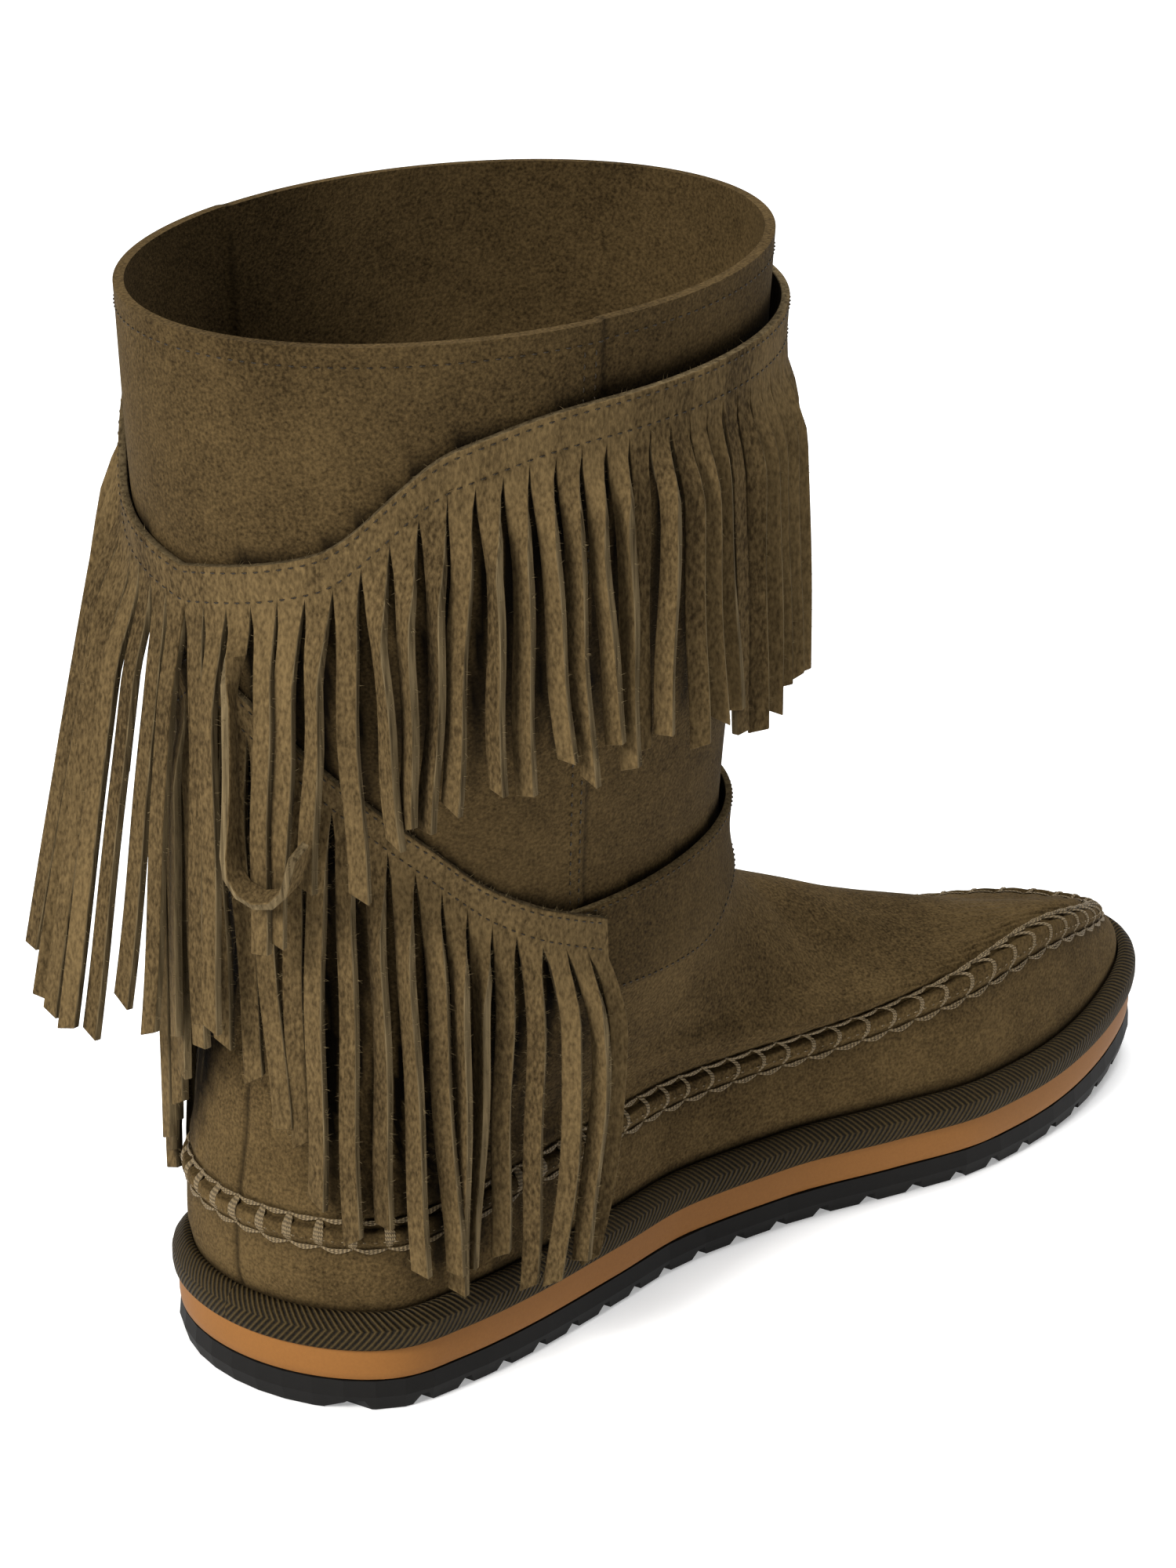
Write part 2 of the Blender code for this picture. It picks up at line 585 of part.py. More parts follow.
class Fringe:
    """Band with strips cut from its lower edge, laid on the upper's wall."""

    name = ""
    angles = (0, 0)
    steps = 0
    clear = STRIP_CLEAR
    seed = 0

    def __init__(self, wall):
        self.wall = wall
        self.closed = self.angles[-1] - self.angles[0] == 360
        self.chance = random.Random(self.seed)

    def stitch_height(self, angle):
        """Height of the stitch line at an angle."""
        raise NotImplementedError

    def lift(self, angle):
        """Distance of the band's middle off the wall."""
        raise NotImplementedError

    def strip_length(self, angle):
        """Length of a strip below its slits, before its own chance change."""
        raise NotImplementedError

    def splay(self, angle):
        """Distance that a strip's tip stands off beyond a plain hang."""
        return 0.0

    def edge_point(self, angle, above):
        """Point of the band at a height over its slit line."""
        height = self.stitch_height(angle) - SLIT_DROP + above
        return self.wall.at(angle, height, self.lift(angle))

    def slit_angles(self):
        """Angles of the slits, evenly spaced on the level."""
        fine = np.linspace(self.angles[0], self.angles[-1], SLIT_PROBES)
        points = [self.edge_point(angle, 0.0) for angle in fine]
        runs = [0.0]
        for near, far in zip(points, points[1:]):
            runs.append(runs[-1] + (far - near).xy.length)
        count = round(runs[-1] / STRIP_PITCH)
        return list(np.interp(np.linspace(0, runs[-1], count + 1), runs, fine))

    def strip_rows(self, first, last):
        """Pairs of edge points down one strip, below its slits."""
        left = self.edge_point(first, 0.0)
        right = self.edge_point(last, 0.0)
        middle_angle = (first + last) / 2
        middle = left.lerp(right, 0.5)
        along = Vector((right.x - left.x, right.y - left.y, 0)).normalized()
        outward = Vector((-along.y, along.x, 0))
        half = ((right - left).xy.length - STRIP_GAP) / 2
        length = self.strip_length(middle_angle) + self.chance.uniform(-1, 1) * STRIP_SPREAD
        shares = [STRIP_ROOT + (1 - STRIP_ROOT) * step / (self.steps - 1) for step in range(self.steps)]
        depths = [length * share for share in shares]
        probes = [length * probe / STRIP_PROBES for probe in range(1, STRIP_PROBES + 1)]
        needs = []
        for probe in probes:
            stand = self.wall.reach(middle, outward, middle.z - probe)
            needs.append(stand + self.clear + FRINGE_THICK / 2)
        rows = []
        reach = length / (self.steps - 1)
        for depth in depths:
            near = [need for need, probe in zip(needs, probes) if probe < depth + reach]
            ahead = [need * depth / probe for need, probe in zip(needs, probes) if probe >= depth + reach]
            out = max([0.0] + near + ahead)
            out = max(out, self.splay(middle_angle) * depth / length)
            level = depth / length
            pair = []
            for edge, side in ((left, -1), (right, 1)):
                place = middle + outward * out + along * half * side
                place.z = edge.z * (1 - level) + middle.z * level - depth
                pair.append(place)
            rows.append(pair)
        return rows

    def sheet(self):
        """Open comb shaped mesh of the band and its strips."""
        work = bmesh.new()
        slits = self.slit_angles()
        ends = slits[:-1] if self.closed else slits
        top = [work.verts.new(self.edge_point(angle, BAND_WIDTH)) for angle in ends]
        foot = [work.verts.new(self.edge_point(angle, 0.0)) for angle in ends]
        for k in range(len(slits) - 1):
            after = (k + 1) % len(ends)
            work.faces.new((foot[k], foot[after], top[after], top[k]))
            upper_pair = (foot[k], foot[after])
            for pair in self.strip_rows(slits[k], slits[k + 1]):
                lower_pair = tuple(work.verts.new(place) for place in pair)
                work.faces.new((lower_pair[0], lower_pair[1], upper_pair[1], upper_pair[0]))
                upper_pair = lower_pair
        mesh = bpy.data.meshes.new(self.name)
        work.to_mesh(mesh)
        work.free()
        return mesh

    def build(self, collection):
        """Fringe as one solid."""
        thing = finish_object(self.name, self.sheet(), collection, FRINGE_SUEDE)
        add_solidify(thing, FRINGE_THICK, 0)
        return thing


class LowerFringe(Fringe):
    """Fringe round the back of the ankle, rising to the heel and lapping over the strap's ends."""

    name = "lower_fringe"
    angles = (-LOWER_ANGLES[-1], LOWER_ANGLES[-1])
    steps = LOWER_STRIP_STEPS
    seed = 3

    def stitch_height(self, angle):
        """Height of the stitch line at an angle."""
        return level_at(smooth_table(LOWER_ANGLES, LOWER_HEIGHTS, abs(angle)))

    def lift(self, angle):
        """Distance of the band's middle off the wall, more over the strap's ends."""
        start, end = OVER_STRAP_ANGLES
        over = soft((abs(angle) - start) / (end - start))
        return LAY + FRINGE_THICK / 2 + over * (STRAP_THICK + LAY)

    def strip_length(self, angle):
        """Length of a strip, down to the line of the tips."""
        tip = level_at(smooth_table(LOWER_ANGLES, LOWER_TIPS, abs(angle)))
        return self.stitch_height(angle) - SLIT_DROP - tip


class UpperFringe(Fringe):
    """Fringe all round the shaft below the collar, hanging outside the lower one."""

    name = "upper_fringe"
    angles = (0, 360)
    steps = UPPER_STRIP_STEPS
    clear = STRIP_CLEAR + FRINGE_THICK + LAY
    seed = 5

    def stitch_height(self, angle):
        """Height of the stitch line, which dips at the back."""
        from_back = min(angle % 360, 360 - angle % 360)
        return COLLAR_HEIGHT - UPPER_TIER_DROP * smooth_table(UPPER_ANGLES, UPPER_DROPS, from_back)

    def lift(self, angle):
        """Distance of the band's middle off the wall, more over the recessed front panel."""
        from_back = min(angle % 360, 360 - angle % 360)
        bridged = soft((from_back - BRIDGE_START) / (PANEL_SEAM_ANGLE - PANEL_SEAM_HALF - BRIDGE_START))
        return LAY + FRINGE_THICK / 2 + bridged * PANEL_STEP

    def strip_length(self, angle):
        """Length of a strip, longest at the back of the outer side."""
        return UPPER_STRIP_LENGTH * float(smooth_table(LENGTH_ANGLES, LENGTH_SHARES, angle % 360))

    def splay(self, angle):
        """Distance that a strip's tip stands off beyond a plain hang."""
        return float(smooth_table(SPLAY_ANGLES, SPLAY, angle % 360))


def place_origin(things, cutter):
    """Parent all to an empty that sets the origin below the middle of the boot's box."""
    view = bpy.context.evaluated_depsgraph_get()
    corners = []
    for thing in things:
        corners += [Vector(corner) for corner in thing.evaluated_get(view).bound_box]
    low = [min(corner[axis] for corner in corners) for axis in range(3)]
    high = [max(corner[axis] for corner in corners) for axis in range(3)]
    root = bpy.data.objects.new("boot", None)
    bpy.context.scene.collection.objects.link(root)
    root.location = (-(low[0] + high[0]) / 2, -(low[1] + high[1]) / 2, -low[2])
    for thing in things + [cutter]:
        thing.parent = root


def main():
    """Build the boot."""
    clear_scene()
    boot = make_collection("fringe_boot")
    cutters = make_collection("cutters")
    cutters.hide_render = True
    cutter = groove_cutter(cutters)
    wall = Wall()
    sole_angles = [360 * k / SOLE_COLUMNS for k in range(SOLE_COLUMNS)]
    things = [
        make_outsole(boot, cutter, sole_angles),
        make_midsole(boot, sole_angles),
        make_rand(boot, wall.angles),
        make_insole(boot, wall.angles),
        make_upper(boot, wall),
        make_strap(boot, wall),
        LowerFringe(wall).build(boot),
        UpperFringe(wall).build(boot),
    ]
    bpy.context.view_layer.update()
    place_origin(things, cutter)
    bpy.context.view_layer.update()


main()
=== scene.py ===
"""Fringe boot for the left foot: suede upper, strips, laddered seam, tape bound rand and a foam and rubber sole."""

import json
import logging
import math
import random
from dataclasses import dataclass, field
from enum import Enum

import bmesh
import bpy
import numpy as np
from mathutils import Matrix, Vector
from mathutils.bvhtree import BVHTree

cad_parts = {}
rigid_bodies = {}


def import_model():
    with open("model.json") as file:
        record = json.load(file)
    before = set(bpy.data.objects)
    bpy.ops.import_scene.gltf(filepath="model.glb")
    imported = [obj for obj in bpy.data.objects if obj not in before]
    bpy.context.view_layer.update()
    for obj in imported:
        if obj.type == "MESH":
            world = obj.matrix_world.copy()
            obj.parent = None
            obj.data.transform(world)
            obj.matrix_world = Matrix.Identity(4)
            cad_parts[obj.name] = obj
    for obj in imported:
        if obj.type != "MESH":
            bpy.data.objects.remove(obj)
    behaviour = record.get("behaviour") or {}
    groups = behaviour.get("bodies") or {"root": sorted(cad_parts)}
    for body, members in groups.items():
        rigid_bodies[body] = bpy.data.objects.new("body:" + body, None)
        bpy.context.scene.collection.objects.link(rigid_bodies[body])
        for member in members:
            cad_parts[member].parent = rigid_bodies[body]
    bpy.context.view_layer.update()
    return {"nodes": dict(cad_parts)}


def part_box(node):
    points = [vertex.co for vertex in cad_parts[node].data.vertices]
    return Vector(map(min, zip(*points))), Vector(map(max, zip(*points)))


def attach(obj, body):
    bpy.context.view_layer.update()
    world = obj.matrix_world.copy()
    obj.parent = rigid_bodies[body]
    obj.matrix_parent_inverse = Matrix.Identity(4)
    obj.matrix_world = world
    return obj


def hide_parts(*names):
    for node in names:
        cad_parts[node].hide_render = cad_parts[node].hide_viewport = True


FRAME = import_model()
LOG = logging.getLogger("boot")
MM = 0.001
Colour = tuple[float, float, float]


class Zone(Enum):
    """Places where a thing rides or stands."""

    ROOT = "root"


def soft(share: np.ndarray) -> np.ndarray:
    """Ease shares from 0 to 1."""
    held = np.clip(share, 0.0, 1.0)
    return held * held * (3 - 2 * held)


def smooth_table(keys: tuple, values: tuple, where: np.ndarray) -> np.ndarray:
    """Read a table with a cubic that never overshoots its rows.

    Args:
        keys: places of the rows, rising.
        values: a number or a point for each row.
        where: places to read at.

    Returns:
        One value or point for each place.
    """
    keys = np.asarray(keys, float)
    values = np.asarray(values, float)
    flat = values.ndim == 1
    if flat:
        values = values[:, None]
    where = np.atleast_1d(np.asarray(where, float))
    steps = np.diff(keys)[:, None]
    slopes = np.diff(values, axis=0) / steps
    tangents = np.zeros_like(values)
    same_way = slopes[:-1] * slopes[1:] > 0
    total = np.where(same_way, slopes[:-1] + slopes[1:], 1.0)
    tangents[1:-1] = np.where(same_way, 2 * slopes[:-1] * slopes[1:] / total, 0.0)
    tangents[0] = slopes[0]
    tangents[-1] = slopes[-1]
    held = np.clip(where, keys[0], keys[-1])
    row = np.minimum(np.searchsorted(keys, held, side="right") - 1, len(steps) - 1)
    step = steps[row]
    t = ((held - keys[row]) / step[:, 0])[:, None]
    result = (
        values[row] * (1 + 2 * t) * (1 - t) ** 2
        + tangents[row] * step * t * (1 - t) ** 2
        + values[row + 1] * t * t * (3 - 2 * t)
        + tangents[row + 1] * step * t * t * (t - 1)
    )
    return result[:, 0] if flat else result


@dataclass
class Last:
    """Outer form of the boot, read by angle round from the back centre and by height, in metres.

    The angle runs over the outer side to 180 at the front and back over the inner side to 360.
    """

    sole_length: float = 268 * MM
    ball_half: float = 46.5 * MM
    toe_swing: float = 8 * MM
    toe_spring: float = 6 * MM
    toe_drop: float = 12 * MM
    drop_skew: float = 0.5
    seam_climb: float = 10 * MM
    climb_fade: float = 18 * MM
    ridge_swing: float = 8 * MM
    midsole_top: float = 14 * MM
    upper_base: float = 14.3 * MM
    upper_inset: float = 3.2 * MM
    seam_foot: float = 37.29 * MM
    seam_head: float = 42.59 * MM
    ankle: float = 86 * MM
    shaft_rise: float = 146 * MM
    rand_height: float = 8 * MM
    panel_step: float = 0.9 * MM
    panel_angle: float = 80.0
    spring_fade: float = 60 * MM
    plan_along: tuple = (0.00, 0.05, 0.12, 0.20, 0.30, 0.40, 0.50, 0.60, 0.70, 0.80, 0.90, 1.00)
    plan_inner: tuple = (1.72, 1.55, 1.20, 0.97, 0.78, 0.665, 0.715, 0.88, 1.03, 1.05, 1.04, 1.10)
    plan_outer: tuple = (1.72, 1.55, 1.21, 1.00, 0.86, 0.835, 0.87, 0.95, 1.04, 1.08, 1.10, 1.12)
    full_along: tuple = (0.00, 0.15, 0.40, 0.70, 1.00)
    wall_rows: tuple = ((0.00, 1.00, 0.0), (0.28, 1.00, 0.1), (0.55, 0.68, 0.7), (1.00, 0.75, 2.0))
    seam_row: tuple = (1.00, 2.9)
    foot_sections: tuple = (
        (0.13, 0.0157, 0.888, 1.0, (1.63, 1.00, 0.60, 0.80, 0.92), (1.63, 1.00, 0.75, 0.86, 0.58)),
        (0.22, 0.0185, 0.787, 1.0, (1.56, 0.98, 0.63, 0.68, 0.66), (1.56, 0.98, 0.77, 0.82, 0.58)),
        (0.32, 0.0210, 0.7015, 1.0, (1.50, 0.95, 0.68, 0.60, 0.58), (1.50, 0.97, 0.80, 0.79, 0.62)),
        (0.53, 0.0240, 0.612, 0.7, (1.38, 0.93, 0.79, 0.64, 0.50), (1.38, 0.93, 0.85, 0.78, 0.62)),
        (0.77, 0.0350, 0.530, 0.4, (1.20, 0.95, 0.86, 0.79, 0.64), (1.20, 0.95, 0.88, 0.86, 0.70)),
        (1.00, 0.0430, 0.502, 0.2, (1.03, 0.95, 0.91, 0.88, 0.80), (1.03, 0.95, 0.91, 0.88, 0.82)),
    )
    shaft_sections: tuple = (
        (1.10, 0.0450, 0.4880, 0.1, (0.95, 0.94, 0.93, 0.91, 0.90), (0.95, 0.94, 0.93, 0.91, 0.90)),
        (1.23, 0.0300, 0.4900, 0.0, (0.99,) * 5, (0.99,) * 5),
        (1.44, 0.0000, 0.5010, 0.0, (1.10,) * 5, (1.10,) * 5),
        (1.71, -0.022, 0.5130, 0.0, (1.18,) * 5, (1.18,) * 5),
        (2.00, -0.030, 0.5240, 0.0, (1.23,) * 5, (1.23,) * 5),
    )
    angle_step: float = 1.0
    height_step: float = 0.5 * MM
    origin: np.ndarray = field(default_factory=lambda: np.zeros(3))

    def __post_init__(self) -> None:
        """Find the frame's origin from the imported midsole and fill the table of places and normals."""
        round_angles = np.arange(0, 360, 2.0)
        plan = self.plan(round_angles)
        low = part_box("midsole")[0]
        self.origin = np.array((low[0] - plan[:, 0].min(), low[1] - plan[:, 1].min(), 0.0))
        self.collar = self.ankle + self.shaft_rise
        self.levels = np.arange(self.upper_base, self.collar + 4 * MM, self.height_step)
        self.angles = np.arange(0, 360 + self.angle_step, self.angle_step)
        self.places = np.array([self.column(angle, self.levels) for angle in self.angles])
        wrapped = np.concatenate((self.places[-2:-1], self.places, self.places[1:2]))
        along = (wrapped[2:] - wrapped[:-2])
        up = np.gradient(self.places, axis=1)
        normals = np.cross(up, along)
        normals /= np.linalg.norm(normals, axis=2, keepdims=True)
        self.normals = normals
        self.alongs = along / np.linalg.norm(along, axis=2, keepdims=True)

    def plan(self, angles: np.ndarray) -> np.ndarray:
        """Points of the sole's outline at angles, as pairs of x and y before the origin's move."""
        turn = np.radians(np.atleast_1d(angles))
        share = (1 - np.cos(turn)) / 2
        side = np.sin(turn)
        outer = smooth_table(self.plan_along, self.plan_outer, share)
        inner = smooth_table(self.plan_along, self.plan_inner, share)
        full = np.where(side >= 0, outer, inner) * self.ball_half
        x = share * self.sole_length
        return np.stack((x, self.middle(x) + side * full), axis=1)

    def middle(self, x: np.ndarray) -> np.ndarray:
        """Sideways place of the sole's middle, which swings inward at the toe."""
        return -self.toe_swing * soft((x / self.sole_length - 0.55) / 0.45)

    def inside(self, angles: np.ndarray, inset: float) -> np.ndarray:
        """Points at a distance inside the sole's outline."""
        angles = np.atleast_1d(angles)
        along = self.plan(angles + 0.5) - self.plan(angles - 0.5)
        along /= np.linalg.norm(along, axis=1, keepdims=True)
        return self.plan(angles) + inset * np.stack((along[:, 1], -along[:, 0]), axis=1)

    def raised(self, plan: np.ndarray, height: np.ndarray) -> np.ndarray:
        """Points with the toe's spring and the seam's fall added, in the frame.

        Args:
            plan: pairs of x and y.
            height: height of each point before the spring.

        Returns:
            Points in the row frame.
        """
        x = plan[:, 0]
        y = plan[:, 1]
        rise = soft((x / self.sole_length - 0.75) / 0.25 / 2) * 2
        spring = self.toe_spring * rise * (1 - soft((height - self.midsole_top) / self.spring_fade))
        share = soft(((x + self.drop_skew * y) / self.sole_length - 0.66) / 0.27)
        climb = self.seam_climb * soft((x / self.sole_length - 0.5) / 0.3) * soft(-y / self.ball_half)
        climb = climb * (1 - soft((height - self.seam_head) / self.climb_fade))
        rand_top = self.midsole_top + self.rand_height
        hold = np.clip((height - rand_top) / (self.seam_head - rand_top), 0.0, 1.0)
        z = height + spring - (self.toe_drop * share - climb) * hold
        return np.stack((x, y, z), axis=1) + self.origin

    def seam_at(self, angles: np.ndarray) -> np.ndarray:
        """Height of the seam's foot at angles: it runs a little higher on the inner side."""
        share = (1 - np.cos(np.radians(angles))) / 2
        inner = soft(-np.sin(np.radians(angles)) / 0.35)
        return self.seam_foot + inner * (2.0 * MM * soft((share - 0.06) / 0.2) + 1.0 * MM * soft((share - 0.5) / 0.4))

    def height_of(self, share: np.ndarray) -> np.ndarray:
        """Height of a share that counts from the seam to the ankle, and past 1 on to the collar."""
        foot = self.seam_head + share * (self.ankle - self.seam_head)
        shaft = self.ankle + (share - 1) * self.shaft_rise
        return np.where(share <= 1, foot, shaft)

    def level_at(self, share: np.ndarray) -> np.ndarray:
        """Height of a share of the rise from seam to ankle, which may run past the ankle."""
        return self.seam_head + np.asarray(share) * (self.ankle - self.seam_head)

    def column(self, angle: float, heights: np.ndarray) -> np.ndarray:
        """Points of the wall at one angle.

        Args:
            angle: degrees round from the back centre.
            heights: heights before the toe's spring.

        Returns:
            One point for each height.
        """
        turn = math.radians(angle)
        share = (1 - math.cos(turn)) / 2
        side = math.sin(turn)
        lean = float(soft(np.array((share - 0.72) / 0.28)))
        keys = []
        places = []
        for rise, inset, toe in self.wall_rows:
            place = self.inside(angle, self.upper_inset * inset)[0]
            place[0] -= self.upper_inset * toe * lean
            keys.append(self.upper_base + rise * (self.seam_foot - self.upper_base))
            places.append(place)
        place = self.inside(angle, self.upper_inset * self.seam_row[0])[0]
        place[0] -= self.upper_inset * self.seam_row[1] * lean
        keys[-1] = self.seam_foot
        keys.append(self.seam_head)
        places.append(place)
        for rise, back, front, swing, inner, outer in self.foot_sections + self.shaft_sections:
            column = outer if side >= 0 else inner
            full = float(smooth_table(self.full_along, column, share)[0]) * self.ball_half
            x = (back + share * (front - back)) * self.sole_length
            ridge = swing * self.ridge_swing * share * share
            keys.append(float(self.height_of(np.array(rise))))
            places.append(np.array((x, float(self.middle(np.array(x))) - ridge + side * full)))
        return self.raised(smooth_table(keys, places, heights), heights)

    def at(self, angles: np.ndarray, heights: np.ndarray, lift: np.ndarray = 0.0) -> np.ndarray:
        """Points off the wall.

        Args:
            angles: degrees round from the back centre.
            heights: heights before the toe's spring.
            lift: distance along the wall's normal.

        Returns:
            One point for each angle and height.
        """
        places, normals, _ = self.frames(angles, heights)
        return places + normals * np.atleast_1d(lift)[:, None]

    def frames(self, angles: np.ndarray, heights: np.ndarray) -> tuple[np.ndarray, np.ndarray, np.ndarray]:
        """Places, normals and directions along the wall, read from the table."""
        angles, heights = np.broadcast_arrays(np.atleast_1d(angles), np.atleast_1d(heights))
        column = np.mod(angles, 360) / self.angle_step
        row = np.clip((heights - self.levels[0]) / self.height_step, 0, len(self.levels) - 1.001)
        a = np.minimum(column.astype(int), len(self.angles) - 2)
        b = row.astype(int)
        s = (column - a)[:, None]
        t = (row - b)[:, None]
        found = []
        for table in (self.places, self.normals, self.alongs):
            low = table[a, b] * (1 - s) + table[a + 1, b] * s
            high = table[a, b + 1] * (1 - s) + table[a + 1, b + 1] * s
            found.append(low * (1 - t) + high * t)
        for k in (1, 2):
            found[k] = found[k] / np.linalg.norm(found[k], axis=1, keepdims=True)
        return tuple(found)

    def run(self, angles: np.ndarray, heights: np.ndarray, lift: float = 0.0) -> np.ndarray:
        """Length along a line on the wall, at each of its points."""
        points = self.at(angles, heights, lift)
        steps = np.linalg.norm(np.diff(points, axis=0), axis=1)
        return np.concatenate(((0.0,), np.cumsum(steps)))


@dataclass(frozen=True)
class Suede:
    """Napped leather with mottling, brush marks and grain."""

    name: str
    dark: Colour
    light: Colour
    bias: float = 0.0
    stretch: float = 1.0
    grain: float = 1500.0
    relief: float = 0.35
    shade_name: str = ""

    def build(self) -> bpy.types.Material:
        """Node material of this suede."""
        net = Net(self.name)
        place = net.objects((1.0, 1.0, self.stretch))
        cloud = net.noise(place, 22.0, 3.0)
        brush = net.noise(place, 140.0, 4.0)
        nap = net.noise(place, 700.0, 5.0)
        grain = net.noise(place, self.grain, 3.0)
        blend = net.add((cloud, 1.1), (brush, 0.45), (nap, 0.5), (grain, 1.8), base=-1.43 + self.bias)
        if self.shade_name:
            blend = net.add((blend, 1.0), (net.attribute(self.shade_name), 1.0))
        # Painted shade: the colour is darkened towards this one by the mesh's dim value.
        shade_colour = tuple(0.16 * channel for channel in self.dark)
        net.colour(net.mix(net.attribute("dim"), net.mix(blend, self.dark, self.light), shade_colour))
        relief = net.add((grain, 1.0), (nap, 0.8))
        net.bump(relief, self.relief, 0.5 * MM)
        net.surface(roughness=0.95, sheen=0.03, sheen_roughness=0.5, sheen_tint=self.light, gloss=0.06)
        return net.material


@dataclass(frozen=True)
class Thread:
    """Twisted thread with a soft shine."""

    name: str
    dark: Colour
    light: Colour
    twist: float = 1100.0

    def build(self) -> bpy.types.Material:
        """Node material of this thread, with its plies running aslant along the first texture coordinate."""
        net = Net(self.name)
        coords = net.uv()
        ply = net.wave(coords, self.twist, (1.0, 0.7, 0.0))
        fibre = net.noise(net.objects((1, 1, 1)), 2500.0, 3.0)
        net.colour(net.mix(net.add((ply, 0.8), (fibre, 0.5), base=-0.2), self.dark, self.light))
        net.bump(ply, 0.6, 0.2 * MM)
        net.surface(roughness=0.55, sheen=0.1, sheen_roughness=0.4, sheen_tint=self.light)
        return net.material


@dataclass(frozen=True)
class Tape:
    """Herringbone twill tape with slanting ribs."""

    name: str
    dark: Colour
    light: Colour
    rib: float = 1.45 * MM
    flip: float = 6.2 * MM

    def build(self) -> bpy.types.Material:
        """Node material of this tape. Texture coordinates are metres along it and across it."""
        net = Net(self.name)
        coords = net.uv()
        rib = net.herringbone(coords, self.rib, self.flip)
        yarn = net.noise(net.objects((1, 1, 1)), 1800.0, 3.0)
        blotch = net.noise(net.objects((1, 1, 1)), 60.0, 3.0)
        net.colour(net.mix(net.add((rib, 0.9), (yarn, 0.7), (blotch, 0.3), base=-0.5), self.dark, self.light))
        net.bump(net.add((rib, 1.0), (yarn, 0.25)), 1.0, 0.5 * MM)
        net.surface(roughness=0.7, sheen=0.04, sheen_roughness=0.4, sheen_tint=self.light, gloss=0.12)
        return net.material


@dataclass(frozen=True)
class Plain:
    """Foam, rubber or felt with faint specks."""

    name: str
    dark: Colour
    light: Colour
    scale: float
    roughness: float
    relief: float = 0.1

    def build(self) -> bpy.types.Material:
        """Node material of this stuff."""
        net = Net(self.name)
        place = net.objects((1, 1, 1))
        cloud = net.noise(place, 30.0, 3.0)
        speck = net.noise(place, self.scale, 4.0)
        net.colour(net.mix(net.add((cloud, 0.6), (speck, 0.7), base=-0.15), self.dark, self.light))
        net.bump(speck, self.relief, 0.2 * MM)
        net.surface(roughness=self.roughness, gloss=0.15)
        return net.material


